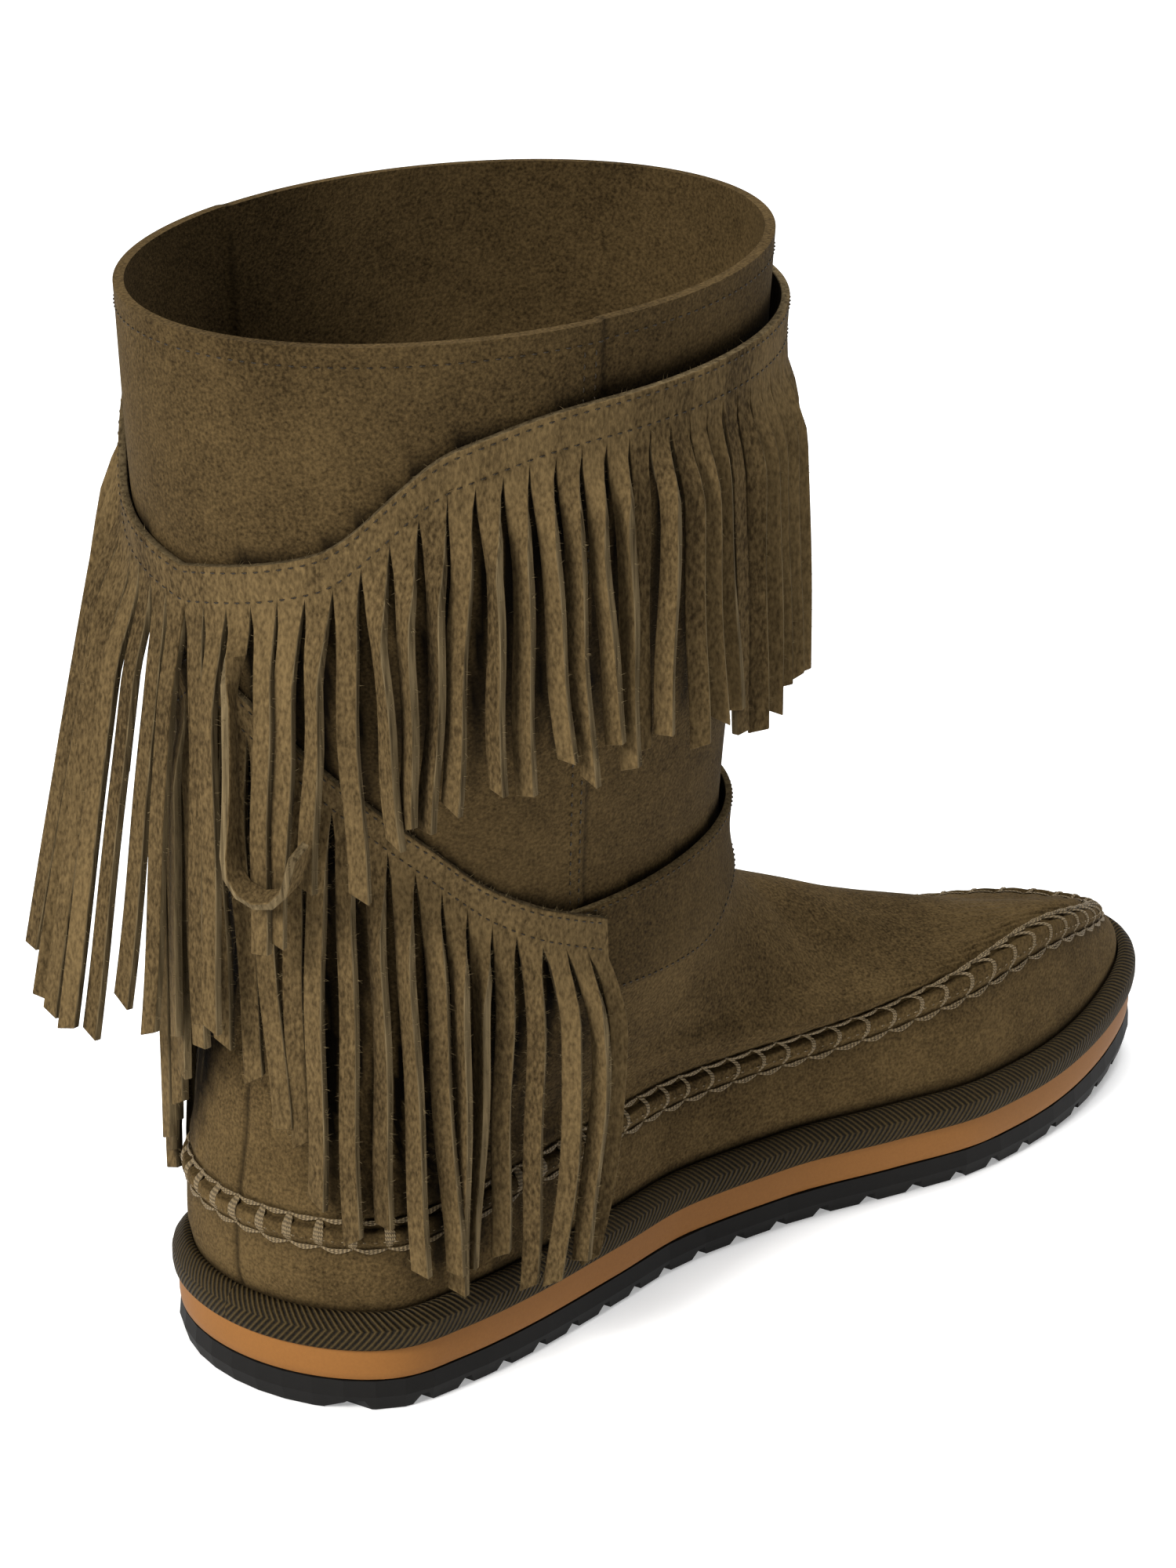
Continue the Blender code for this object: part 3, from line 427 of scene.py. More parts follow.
class Net:
    """Node tree of one material, built a node at a time."""

    def __init__(self, name: str) -> None:
        """Start a material with a plain shader."""
        self.material = bpy.data.materials.new(name)
        self.material.use_nodes = True
        self.nodes = self.material.node_tree.nodes
        self.links = self.material.node_tree.links
        self.shader = self.nodes["Principled BSDF"]
        self.coords = self.nodes.new("ShaderNodeTexCoord")

    def objects(self, scale: tuple) -> bpy.types.NodeSocket:
        """Object coordinates with a scale for each axis."""
        mapping = self.nodes.new("ShaderNodeMapping")
        mapping.inputs["Scale"].default_value = scale
        self.links.new(self.coords.outputs["Object"], mapping.inputs["Vector"])
        return mapping.outputs["Vector"]

    def uv(self) -> bpy.types.NodeSocket:
        """Texture coordinates of the mesh."""
        return self.coords.outputs["UV"]

    def attribute(self, name: str) -> bpy.types.NodeSocket:
        """Value that the mesh holds under a name."""
        node = self.nodes.new("ShaderNodeAttribute")
        node.attribute_name = name
        return node.outputs["Fac"]

    def noise(self, place: bpy.types.NodeSocket, scale: float, detail: float) -> bpy.types.NodeSocket:
        """Value noise at a place."""
        node = self.nodes.new("ShaderNodeTexNoise")
        node.inputs["Scale"].default_value = scale
        node.inputs["Detail"].default_value = detail
        self.links.new(place, node.inputs["Vector"])
        return node.outputs["Fac"]

    def maths(self, kind: str, first: object, second: object = 0.0, third: object = 0.0) -> bpy.types.NodeSocket:
        """One step of arithmetic on sockets or numbers."""
        node = self.nodes.new("ShaderNodeMath")
        node.operation = kind
        for place, value in enumerate((first, second, third)):
            if isinstance(value, bpy.types.NodeSocket):
                self.links.new(value, node.inputs[place])
            else:
                node.inputs[place].default_value = value
        return node.outputs[0]

    def add(self, *pairs: tuple, base: float = 0.0) -> bpy.types.NodeSocket:
        """Weighted sum of sockets on top of a base."""
        total: object = base
        for socket, weight in pairs:
            total = self.maths("MULTIPLY_ADD", socket, weight, total)
        return total

    def wave(self, coords: bpy.types.NodeSocket, scale: float, slant: tuple) -> bpy.types.NodeSocket:
        """Sine bands across a slanting direction, from 0 to 1."""
        dot = self.nodes.new("ShaderNodeVectorMath")
        dot.operation = "DOT_PRODUCT"
        self.links.new(coords, dot.inputs[0])
        dot.inputs[1].default_value = slant
        turn = self.maths("MULTIPLY", dot.outputs["Value"], scale * 2 * math.pi)
        return self.maths("MULTIPLY_ADD", self.maths("SINE", turn), 0.5, 0.5)

    def herringbone(self, coords: bpy.types.NodeSocket, rib: float, flip: float) -> bpy.types.NodeSocket:
        """Slanting ribs that turn back every flip across."""
        split = self.nodes.new("ShaderNodeSeparateXYZ")
        self.links.new(coords, split.inputs[0])
        across = self.maths("PINGPONG", split.outputs["Y"], flip)
        lean = self.maths("MULTIPLY_ADD", across, 0.8, split.outputs["X"])
        turn = self.maths("MULTIPLY", lean, 2 * math.pi / rib)
        return self.maths("MULTIPLY_ADD", self.maths("SINE", turn), 0.5, 0.5)

    def mix(self, share: bpy.types.NodeSocket, dark: object, light: Colour) -> bpy.types.NodeSocket:
        """Colour between a dark and a light one."""
        node = self.nodes.new("ShaderNodeMix")
        node.data_type = "RGBA"
        node.clamp_factor = True
        self.links.new(share, node.inputs["Factor"])
        if isinstance(dark, bpy.types.NodeSocket):
            self.links.new(dark, node.inputs["A"])
        else:
            node.inputs["A"].default_value = (*dark, 1)
        node.inputs["B"].default_value = (*light, 1)
        return node.outputs["Result"]

    def colour(self, socket: bpy.types.NodeSocket) -> None:
        """Set the shader's colour."""
        self.links.new(socket, self.shader.inputs["Base Color"])

    def bump(self, height: bpy.types.NodeSocket, strength: float, distance: float) -> None:
        """Add fine relief."""
        node = self.nodes.new("ShaderNodeBump")
        node.inputs["Strength"].default_value = strength
        node.inputs["Distance"].default_value = distance
        self.links.new(height, node.inputs["Height"])
        self.links.new(node.outputs["Normal"], self.shader.inputs["Normal"])

    def surface(
        self, roughness: float, sheen: float = 0.0, sheen_roughness: float = 0.5, sheen_tint: Colour = (1, 1, 1),
        gloss: float = 0.25,
    ) -> None:
        """Set the shader's plain values."""
        self.shader.inputs["Roughness"].default_value = roughness
        self.shader.inputs["Specular IOR Level"].default_value = gloss
        self.shader.inputs["Sheen Weight"].default_value = sheen
        self.shader.inputs["Sheen Roughness"].default_value = sheen_roughness
        self.shader.inputs["Sheen Tint"].default_value = (*sheen_tint, 1)


class Bench:
    """Modelling moves on primitives, done through the editor's own operators."""

    @staticmethod
    def clear() -> None:
        """Deselect everything."""
        if bpy.context.object and bpy.context.object.mode != "OBJECT":
            bpy.ops.object.mode_set(mode="OBJECT")
        bpy.ops.object.select_all(action="DESELECT")

    @staticmethod
    def pick(thing: bpy.types.Object) -> None:
        """Select one object alone."""
        Bench.clear()
        thing.select_set(True)
        bpy.context.view_layer.objects.active = thing

    @staticmethod
    def grid(name: str, columns: int, rows: int) -> bpy.types.Object:
        """Flat unit grid, one metre a side, to be shaped."""
        Bench.clear()
        bpy.ops.mesh.primitive_grid_add(x_subdivisions=columns, y_subdivisions=rows, size=1)
        thing = bpy.context.object
        thing.name = name
        thing.data.name = name
        return thing

    @staticmethod
    def coords(thing: bpy.types.Object) -> np.ndarray:
        """Vertices of an object as an array."""
        flat = np.empty(len(thing.data.vertices) * 3)
        thing.data.vertices.foreach_get("co", flat)
        return flat.reshape(-1, 3)

    @staticmethod
    def move(thing: bpy.types.Object, places: np.ndarray) -> None:
        """Put an object's vertices at new places."""
        thing.data.vertices.foreach_set("co", np.ascontiguousarray(places, dtype=float).ravel())
        thing.data.update()

    @staticmethod
    def mark(thing: bpy.types.Object, name: str, values: np.ndarray) -> None:
        """Keep a value for each vertex under a name."""
        layer = thing.data.attributes.get(name) or thing.data.attributes.new(name, "FLOAT", "POINT")
        layer.data.foreach_set("value", np.ascontiguousarray(values, dtype=float))

    @staticmethod
    def weld(thing: bpy.types.Object) -> None:
        """Join the vertices that lie together."""
        Bench.pick(thing)
        bpy.ops.object.mode_set(mode="EDIT")
        bpy.ops.mesh.select_all(action="SELECT")
        bpy.ops.mesh.remove_doubles(threshold=1e-6)
        bpy.ops.object.mode_set(mode="OBJECT")

    @staticmethod
    def flip(thing: bpy.types.Object) -> None:
        """Turn a sheet's faces over."""
        Bench.pick(thing)
        bpy.ops.object.mode_set(mode="EDIT")
        bpy.ops.mesh.select_all(action="SELECT")
        bpy.ops.mesh.flip_normals()
        bpy.ops.object.mode_set(mode="OBJECT")

    @staticmethod
    def outward(thing: bpy.types.Object) -> None:
        """Turn the faces of a closed mesh outward."""
        Bench.pick(thing)
        bpy.ops.object.mode_set(mode="EDIT")
        bpy.ops.mesh.select_all(action="SELECT")
        bpy.ops.mesh.normals_make_consistent(inside=False)
        bpy.ops.object.mode_set(mode="OBJECT")

    @staticmethod
    def thicken(thing: bpy.types.Object, thickness: float, offset: float, rim: int = 0) -> None:
        """Give a sheet its thickness, with its rim in another material slot if asked."""
        Bench.pick(thing)
        solid = thing.modifiers.new("Thickness", "SOLIDIFY")
        solid.thickness = thickness
        solid.offset = offset
        solid.use_even_offset = False
        solid.use_rim = True
        solid.material_offset_rim = rim
        bpy.ops.object.modifier_apply(modifier=solid.name)

    @staticmethod
    def bevel(thing: bpy.types.Object, width: float, segments: int = 1, degrees: float = 50.0) -> None:
        """Round the sharp edges."""
        Bench.pick(thing)
        edge = thing.modifiers.new("Edge", "BEVEL")
        edge.width = width
        edge.segments = segments
        edge.limit_method = "ANGLE"
        edge.angle_limit = math.radians(degrees)
        edge.use_clamp_overlap = True
        bpy.ops.object.modifier_apply(modifier=edge.name)

    @staticmethod
    def smooth(thing: bpy.types.Object, degrees: float = 40.0) -> None:
        """Shade smooth but for the sharp edges."""
        Bench.pick(thing)
        bpy.ops.object.shade_smooth_by_angle(angle=math.radians(degrees))

    @staticmethod
    def paint(thing: bpy.types.Object, *materials: bpy.types.Material) -> None:
        """Give an object its materials."""
        thing.data.materials.clear()
        for material in materials:
            thing.data.materials.append(material)

    @staticmethod
    def finish(thing: bpy.types.Object, slot: str, *nodes: str) -> None:
        """Hang a piece on the boot and hide the solids it stands for."""
        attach(thing, Zone.ROOT.value)
        if nodes:
            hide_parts(*nodes)
        LOG.info("%s: %d faces", thing.name, len(thing.data.polygons))

    @staticmethod
    def stamp(name: str, base: bpy.types.Object, frames: list[Matrix]) -> bpy.types.Object:
        """Copies of a modelled piece at many frames, joined into one mesh with their texture coordinates.

        Args:
            name: name of the joined piece.
            base: the piece that is repeated, which is removed afterwards.
            frames: a matrix for each copy.

        Returns:
            The joined piece.
        """
        mesh = base.data
        points = np.c_[Bench.coords(base), np.ones(len(mesh.vertices))]
        places = np.concatenate([points @ np.array(frame).T[:, :3] for frame in frames])
        faces = [tuple(polygon.vertices) for polygon in mesh.polygons]
        count = len(mesh.vertices)
        joined = bpy.data.meshes.new(name)
        joined.from_pydata(
            places.tolist(), [], [tuple(v + k * count for v in face) for k in range(len(frames)) for face in faces]
        )
        if mesh.uv_layers:
            flat = np.empty(len(mesh.loops) * 2)
            mesh.uv_layers[0].data.foreach_get("uv", flat)
            layer = joined.uv_layers.new(name="UVMap")
            layer.data.foreach_set("uv", np.tile(flat, len(frames)))
        thing = bpy.data.objects.new(name, joined)
        bpy.context.scene.collection.objects.link(thing)
        bpy.data.objects.remove(base)
        return thing


def set_uv(thing: bpy.types.Object, pairs: np.ndarray) -> None:
    """Write texture coordinates from a pair for each vertex."""
    mesh = thing.data
    layer = mesh.uv_layers[0] if mesh.uv_layers else mesh.uv_layers.new(name="UVMap")
    index = np.empty(len(mesh.loops), dtype=int)
    mesh.loops.foreach_get("vertex_index", index)
    layer.data.foreach_set("uv", np.ascontiguousarray(pairs[index]).ravel())


def tree_of(*things: bpy.types.Object) -> BVHTree:
    """Search tree over the faces of finished pieces."""
    points = []
    faces = []
    for thing in things:
        start = len(points)
        points += [vertex.co.copy() for vertex in thing.data.vertices]
        faces += [tuple(v + start for v in polygon.vertices) for polygon in thing.data.polygons]
    return BVHTree.FromPolygons(points, faces)


def paint_shade_under(thing: bpy.types.Object, tree: BVHTree, reach: float, most: float) -> None:
    """Paint shade into a piece where another one lies close over it: its colour is darkened by the share of rays
    stopped nearby, a painted shadow.

    Args:
        thing: the piece to darken.
        tree: what may lie over it.
        reach: distance at which it no longer counts.
        most: share of darkening where every ray is stopped.
    """
    mesh = thing.data
    held = np.zeros(len(mesh.vertices))
    if "dim" in mesh.attributes:
        mesh.attributes["dim"].data.foreach_get("value", held)
    up = Vector((0, 0, 1))
    for k, vertex in enumerate(mesh.vertices):
        normal = vertex.normal
        start = vertex.co + normal * (0.35 * MM)
        side = normal.cross(up)
        hits = 0
        for way in (normal, normal + up, normal - up, normal + side, normal - side):
            if tree.ray_cast(start, way.normalized(), reach)[0] is not None:
                hits += 1
        held[k] = max(held[k], most * hits / 5)
    Bench.mark(thing, "dim", held)


@dataclass(frozen=True)
class Crease:
    """Soft trough or ridge in the suede, along a line of angles and shares of the rise from seam to ankle."""

    line: tuple
    depth: float
    width: float


@dataclass
class Upper:
    """Suede shell with its seam lip, its heel seam, its shaft panels and its creases."""

    last: Last
    columns: int = 340
    wall: float = 2.2 * MM
    backs: tuple = (0.10, 0.22, 0.36, 0.51, 0.68, 0.88, 1.02, 1.09, 1.17, 1.26, 1.37, 1.50, 1.65, 1.82, 2.00)
    fronts: tuple = (0.04, 0.09, 0.14, 0.20, 0.29, 0.42, 0.61, 0.85, 1.04, 1.16, 1.30, 1.45, 1.62, 1.81, 2.00)
    split: int = 5
    creases: tuple = ()

    def levels(self, angle: float) -> np.ndarray:
        """Heights of the shell's rows at an angle."""
        share = (1 - math.cos(math.radians(angle))) / 2
        foot = float(self.last.seam_at(angle))
        low = np.linspace(self.last.upper_base, foot - 2 * MM, 10)
        band = foot + np.arange(-1.6 * MM, self.last.seam_head - self.last.seam_foot + 1.9 * MM, 0.42 * MM)
        rings = np.arange(0, len(self.backs) - 1 + 1e-6, 1 / self.split)
        known = range(len(self.backs))
        back = self.last.height_of(np.interp(rings, known, self.backs))
        front = self.last.height_of(np.interp(rings, known, self.fronts))
        above = back + share * (front - back)
        start = band[-1]
        fan = start + (above[2 * self.split] - start) * np.linspace(0, 1, 2 * self.split + 1)[1:]
        above = np.concatenate((fan, above[2 * self.split + 1:]))
        return np.concatenate((low, band, above))

    def build(self) -> bpy.types.Object:
        """Model the shell from a grid wrapped round the last."""
        angles = np.linspace(0, 360, self.columns + 1)
        rows = len(self.levels(0.0)) - 1
        thing = Bench.grid("upper_skin", self.columns, rows)
        places = np.empty((rows + 1, self.columns + 1, 3))
        flats = np.empty((rows + 1, self.columns + 1, 2))
        for k, angle in enumerate(angles):
            heights = self.levels(angle)
            places[:, k] = self.last.column(angle, heights)
            flats[:, k, 0] = angle
            flats[:, k, 1] = heights
        normals = self.normals(places)
        relief = self.relief(flats, places)
        places += normals * relief[..., None]
        places[:, -1] = places[:, 0]
        Bench.move(thing, places.reshape(-1, 3))
        # Painted shade in the seams, recesses and over the shaft, kept as the dim value.
        Bench.mark(thing, "dim", self.painted_shade_share(flats).ravel())
        Bench.weld(thing)
        Bench.flip(thing)
        return thing

    def painted_shade_share(self, flats: np.ndarray) -> np.ndarray:
        """Share of painted shade in the seams: over the rand, under the lip, in the ladder's recess, along the panels
        and the heel seam, and over the shaft where the strips cast shadow.
        """
        back = np.minimum(flats[..., 0], 360 - flats[..., 0])
        rise = flats[..., 1] - self.last.seam_at(flats[..., 0])
        low = self.last.upper_base + self.last.rand_height
        foot = 0.8 * (1 - soft((flats[..., 1] - low + 0.6 * MM) / (2.6 * MM)))
        recess = 0.25 * soft((rise - 2.5 * MM) / (0.6 * MM)) * (1 - soft((rise - 5.2 * MM) / (1.2 * MM)))
        under = 0.45 * soft((rise + 3.0 * MM) / (2.0 * MM)) * (1 - soft((rise + 0.8 * MM) / (0.8 * MM)))
        panel = 0.75 * np.exp(-(((back - self.last.panel_angle - 0.2) / 0.6) ** 2))
        panel = panel * soft((flats[..., 1] - self.last.ankle) / (6 * MM))
        heel = 0.7 * np.exp(-((back / 0.6) ** 2)) * (1 - soft((flats[..., 1] - self.last.ankle) / (30 * MM)))
        shaft = 0.2 * soft((flats[..., 1] - self.last.ankle) / (25 * MM))
        return np.maximum.reduce((foot, recess, under, panel, heel, shaft))

    @staticmethod
    def normals(places: np.ndarray) -> np.ndarray:
        """Outward normals of a wrapped grid of points."""
        wrapped = np.concatenate((places[:, -2:-1], places, places[:, 1:2]), axis=1)
        along = wrapped[:, 2:] - wrapped[:, :-2]
        up = np.gradient(places, axis=0)
        normals = np.cross(up, along)
        return normals / np.linalg.norm(normals, axis=2, keepdims=True)

    def relief(self, flats: np.ndarray, places: np.ndarray) -> np.ndarray:
        """Height of the shell's own relief at each point: lip, puckers, heel seam, panels and creases."""
        angle = flats[..., 0]
        height = flats[..., 1]
        rise = height - self.last.seam_at(angle)
        lip = soft((rise + 0.6 * MM) / (1.4 * MM)) * (1 - soft((rise - 2.9 * MM) / (0.5 * MM)))
        sunk = soft((rise - 2.9 * MM) / (0.5 * MM)) * (1 - soft((rise - 5.4 * MM) / (1.6 * MM)))
        relief = 0.95 * MM * lip - 0.3 * MM * sunk
        above = soft((rise - 5.6 * MM) / (1.2 * MM)) * (1 - soft((rise - 8 * MM) / (6 * MM)))
        ladder = self.ladder_phase(angle)
        relief = relief + above * 0.45 * MM * (0.5 - 0.5 * np.cos(ladder))
        relief = relief + lip * 0.3 * MM * (0.5 - 0.5 * np.cos(ladder))
        back = np.minimum(angle, 360 - angle)
        shaft = (height - self.last.ankle) / self.last.shaft_rise
        heel = np.exp(-((back / 0.55) ** 2)) * (1 - soft((shaft - 0.2) / 0.2))
        relief = relief - 0.4 * MM * heel
        inside = soft((back - self.last.panel_angle) / 0.6) * soft((shaft - 0.05) / 0.1)
        relief = relief - self.last.panel_step * inside
        for crease in self.creases:
            relief = relief + self.trough(crease, places)
        return relief

    def ladder_phase(self, angle: np.ndarray) -> np.ndarray:
        """Phase of the ladder's bars round the seam."""
        fine = np.linspace(0, 360, 721)
        run = self.last.run(fine, self.last.seam_at(fine) + 3 * MM)
        count = round(run[-1] / (7 * MM))
        return np.interp(angle, fine, run / run[-1]) * count * 2 * math.pi

    def trough(self, crease: Crease, places: np.ndarray) -> np.ndarray:
        """Depth that one crease adds at each point, fading out towards its ends."""
        angles = np.array([point[0] for point in crease.line])
        heights = self.last.level_at(np.array([point[1] for point in crease.line]))
        line = self.last.at(angles, heights)
        best = np.full(places.shape[:2], 1.0)
        fade = np.zeros(places.shape[:2])
        count = len(line) - 1
        for k in range(count):
            start = line[k]
            run = line[k + 1] - start
            share = np.clip(((places - start) @ run) / (run @ run), 0, 1)
            far = np.linalg.norm(places - (start + share[..., None] * run), axis=2)
            nearer = far < best
            best = np.where(nearer, far, best)
            along = (k + share) / count
            fade = np.where(nearer, np.sin(math.pi * np.clip(along, 0.03, 0.97)), fade)
        return crease.depth * np.exp(-((best / crease.width) ** 2)) * fade

    def dress(self, thing: bpy.types.Object, suede: bpy.types.Material) -> None:
        """Close the shell's wall and give it its suede."""
        Bench.thicken(thing, self.wall, -1)
        Bench.smooth(thing, 60)
        Bench.paint(thing, suede)
        Bench.finish(thing, "upper_suede", "upper")


@dataclass
class Sole:
    """Midsole, rand, insole and outsole."""

    last: Last
    count: int = 300

    def slab(self, name: str, levels: tuple) -> bpy.types.Object:
        """Slab with the sole's outline: a disc pulled to the outline and drawn up level by level."""
        Bench.clear()
        bpy.ops.mesh.primitive_circle_add(vertices=self.count, radius=1, fill_type="NGON")
        thing = bpy.context.object
        thing.name = name
        thing.data.name = name
        angles = np.linspace(0, 360, self.count, endpoint=False)
        rings = []
        for inset, height in levels:
            plan = self.last.inside(angles, inset)
            rings.append(self.last.raised(plan, np.full(self.count, height)))
        Bench.move(thing, rings[0])
        bpy.ops.object.mode_set(mode="EDIT")
        for ring in rings[1:]:
            bpy.ops.mesh.select_all(action="SELECT")
            work = bmesh.from_edit_mesh(thing.data)
            top = [face for face in work.faces if len(face.verts) == self.count]
            bpy.ops.mesh.select_all(action="DESELECT")
            work.faces.ensure_lookup_table()
            last_face = top[-1]
            last_face.select = True
            bmesh.update_edit_mesh(thing.data)
            bpy.ops.mesh.extrude_region()
            work = bmesh.from_edit_mesh(thing.data)
            face = next(face for face in work.faces if face.select)
            start = [vertex for vertex in face.verts]
            low = min(range(self.count), key=lambda k: (start[k].co - Vector(rings[0][0])).length)
            step = 1
            ahead = start[(low + 1) % self.count].co
            if (ahead - Vector(rings[0][1])).length > (ahead - Vector(rings[0][-1])).length:
                step = -1
            for k in range(self.count):
                start[(low + step * k) % self.count].co = Vector(ring[k])
            bmesh.update_edit_mesh(thing.data)
        bpy.ops.object.mode_set(mode="OBJECT")
        Bench.outward(thing)
        return thing

    def tube(self, name: str, profile: list[tuple[float, float]]) -> bpy.types.Object:
        """Closed band round the outline from a profile of insets and heights, with metres as texture coordinates."""
        columns = 520
        rows = len(profile) - 1
        thing = Bench.grid(name, columns, rows)
        angles = np.linspace(0, 360, columns + 1)
        run = np.concatenate(((0.0,), np.cumsum(np.linalg.norm(np.diff(self.last.plan(angles), axis=0), axis=1))))
        places = []
        flats = []
        across = 0.0
        for k, (inset, height) in enumerate(profile):
            if k:
                across += math.dist(profile[k - 1], profile[k])
            ring = self.last.raised(self.last.inside(angles, inset), np.full(columns + 1, height))
            ring[-1] = ring[0]
            places.append(ring)
            flats.append(np.stack((run, np.full(columns + 1, across)), axis=1))
        Bench.move(thing, np.concatenate(places))
        set_uv(thing, np.concatenate(flats))
        Bench.weld(thing)
        Bench.outward(thing)
        return thing


@dataclass(frozen=True)
class Curl:
    """Strip whose lower end curls sideways and up.

    Its straight part is a share of its length, then it turns through a sweep in radians at a radius.
    """

    angle: float
    start: float
    radius: float
    sweep: float
    way: float = 1.0


@dataclass
class Comb:
    """Band with strips cut from its lower edge."""

    last: Last
    name: str
    spans: tuple
    pitch: float = 5.5 * MM
    gap: float = 1.1 * MM
    thick: float = 1.8 * MM
    band: float = 9.5 * MM
    slit_drop: float = 2 * MM
    steps: int = 18
    band_steps: int = 4
    across: int = 4
    seed: int = 3
    clear: float = 0.6 * MM
    curls: tuple = ()
    turn_angles: tuple = (0, 12, 28, 50, 85, 120, 180)
    turns: tuple = (0, 8, 38, 60, 66, 48, 20)

    def stitch(self, angles: np.ndarray) -> np.ndarray:
        """Heights of the stitch line."""
        raise NotImplementedError

    def lift(self, angles: np.ndarray) -> np.ndarray:
        """Distance of the band's middle off the wall."""
        raise NotImplementedError

    def length(self, angle: float) -> float:
        """Length of the strip at an angle."""
        raise NotImplementedError

    def splay(self, angle: float) -> float:
        """Distance that a strip's tip stands off beyond a plain hang."""
        return 0.0

    def bow(self, angle: float) -> tuple[float, float]:
        """Sideways bow at the middle of a strip and sideways lean of its tip, towards rising angles."""
        return 0.0, 0.0

    def turn(self, angle: float, chance: random.Random) -> float:
        """Turn of a strip about its length, in radians, by which its napped face looks to the back."""
        turned = angle % 360
        back = min(turned, 360 - turned)
        most = float(smooth_table(self.turn_angles, self.turns, back)[0])
        way = 1 if turned < 180 else -1
        held = most * chance.choice((1.0, 1.0, 1.0, 1.0, 0.75, 0.3))
        return way * math.radians(held + chance.uniform(-14, 14))

    def slits(self) -> np.ndarray:
        """Angles of the slits, evenly spaced on the level."""
        fine = np.linspace(self.spans[0], self.spans[1], 721)
        points = self.last.at(fine, self.stitch(fine) - self.slit_drop, self.lift(fine))
        run = np.concatenate(((0.0,), np.cumsum(np.linalg.norm(np.diff(points[:, :2], axis=0), axis=1))))
        count = round(run[-1] / self.pitch)
        return np.interp(np.linspace(0, run[-1], count + 1), run, fine)

    def build(self, tree: BVHTree) -> bpy.types.Object:
        """Model the comb from a grid that is slit, wrapped round the wall and hung.

        Args:
            tree: what the strips must hang clear of.

        Returns:
            The comb as an open sheet, before it gets its thickness.
        """
        slits = self.slits()
        strips = len(slits) - 1
        rows = self.steps + self.band_steps
        thing = Bench.grid(self.name, strips * self.across, rows)
        hang = self.steps / rows
        self.slit(thing, strips, hang)
        flat = Bench.coords(thing)
        u = (flat[:, 0] + 0.5) * strips
        v = flat[:, 1] + 0.5
        owner = self.owners(thing, strips)
        places = np.zeros_like(flat)
        band = v >= hang - 1e-6
        angle = np.interp(u, np.arange(strips + 1), slits)
        above = self.band * (v - hang) / (1 - hang)
        heights = self.stitch(angle) - self.slit_drop + above
        places[band] = self.last.at(angle[band], heights[band], self.lift(angle[band]))
        chance = random.Random(self.seed)
        shade = np.zeros(len(flat))
        for k in range(strips):
            mine = (owner == k) & ~band
            depth = 1 - v[mine] / hang
            side = (u[mine] - k) * 2 - 1
            places[mine] = self.hang(slits[k], slits[k + 1], depth, side, tree, chance)
            shade[owner == k] = chance.uniform(-0.16, 0.16)
        Bench.move(thing, places)
        Bench.mark(thing, "shade", shade)
        if self.spans[1] - self.spans[0] == 360:
            Bench.weld(thing)
        return thing

    def slit(self, thing: bpy.types.Object, strips: int, hang: float) -> None:
        """Part the grid along the slits, below the band."""
        Bench.pick(thing)
        bpy.ops.object.mode_set(mode="EDIT")
        bpy.ops.mesh.select_all(action="DESELECT")
        work = bmesh.from_edit_mesh(thing.data)
        for edge in work.edges:
            first, second = edge.verts
            place = (first.co.x + 0.5) * strips
            upright = abs(first.co.x - second.co.x) < 1e-6
            low = max(first.co.y, second.co.y) + 0.5 <= hang + 1e-4
            whole = abs(place - round(place)) < 1e-3 and 0 < round(place) < strips
            edge.select = upright and low and whole
        bmesh.update_edit_mesh(thing.data)
        bpy.ops.mesh.edge_split(type="EDGE")
        bpy.ops.object.mode_set(mode="OBJECT")

    @staticmethod
    def owners(thing: bpy.types.Object, strips: int) -> np.ndarray:
        """Number of the strip that each vertex belongs to, by the faces round it."""
        total = np.zeros(len(thing.data.vertices))
        count = np.zeros(len(thing.data.vertices))
        for polygon in thing.data.polygons:
            for vertex in polygon.vertices:
                total[vertex] += polygon.center.x
                count[vertex] += 1
        return np.clip(((total / count + 0.5) * strips).astype(int), 0, strips - 1)

    def hang(
        self, first: float, last: float, depth: np.ndarray, side: np.ndarray, tree: BVHTree, chance: random.Random
    ) -> np.ndarray:
        """Places of one strip's vertices.

        Args:
            first: angle of the slit where the strip starts.
            last: angle of the slit where it ends.
            depth: share down the strip of each vertex.
            side: place across the strip of each vertex, from -1 to 1.
            tree: what the strip must hang clear of.
            chance: source of the strip's own irregularity.

        Returns:
            A point for each vertex.
        """
        ends = np.array((first, last))
        left, right = self.last.at(ends, self.stitch(ends) - self.slit_drop, self.lift(ends))
        middle = (left + right) / 2
        run = right - left
        wide = math.hypot(run[0], run[1])
        along = np.array((run[0], run[1], 0)) / wide
        out = np.array((-along[1], along[0], 0))
        centre = (first + last) / 2
        length = self.length(centre) + chance.uniform(-1, 1) * 4.5 * MM
        probes = np.linspace(0, 1, 41)[1:]
        reach = 90 * MM
        needs = []
        for probe in probes:
            origin = middle + out * reach
            origin[2] = middle[2] - probe * length
            hit = tree.ray_cast(Vector(origin), Vector(-out))
            stand = reach - hit[3] if hit[3] is not None else -reach
            needs.append(stand + self.clear + self.thick / 2)
        needs = np.array(needs)
        shares = np.linspace(0, 1, 41)
        drape = np.zeros(41)
        for k, share in enumerate(shares):
            near = needs[probes <= share]
            ahead = needs[probes > share] * share / probes[probes > share]
            drape[k] = max([0.0, *near, *ahead])
        drape = np.maximum(drape, self.splay(centre) * shares)
        drape += soft(shares * 4) * chance.uniform(0, 2.8) * MM
        bow, lean = self.bow(centre)
        bow += chance.uniform(-0.7, 0.7) * MM
        lean += (chance.uniform(-2.2, 2.2) + 2.0 * math.sin(math.radians(centre * 11))) * MM
        turn = self.turn(centre, chance)
        ripple = chance.uniform(0, 2 * math.pi)
        slant = chance.uniform(-1.3, 1.3) * MM
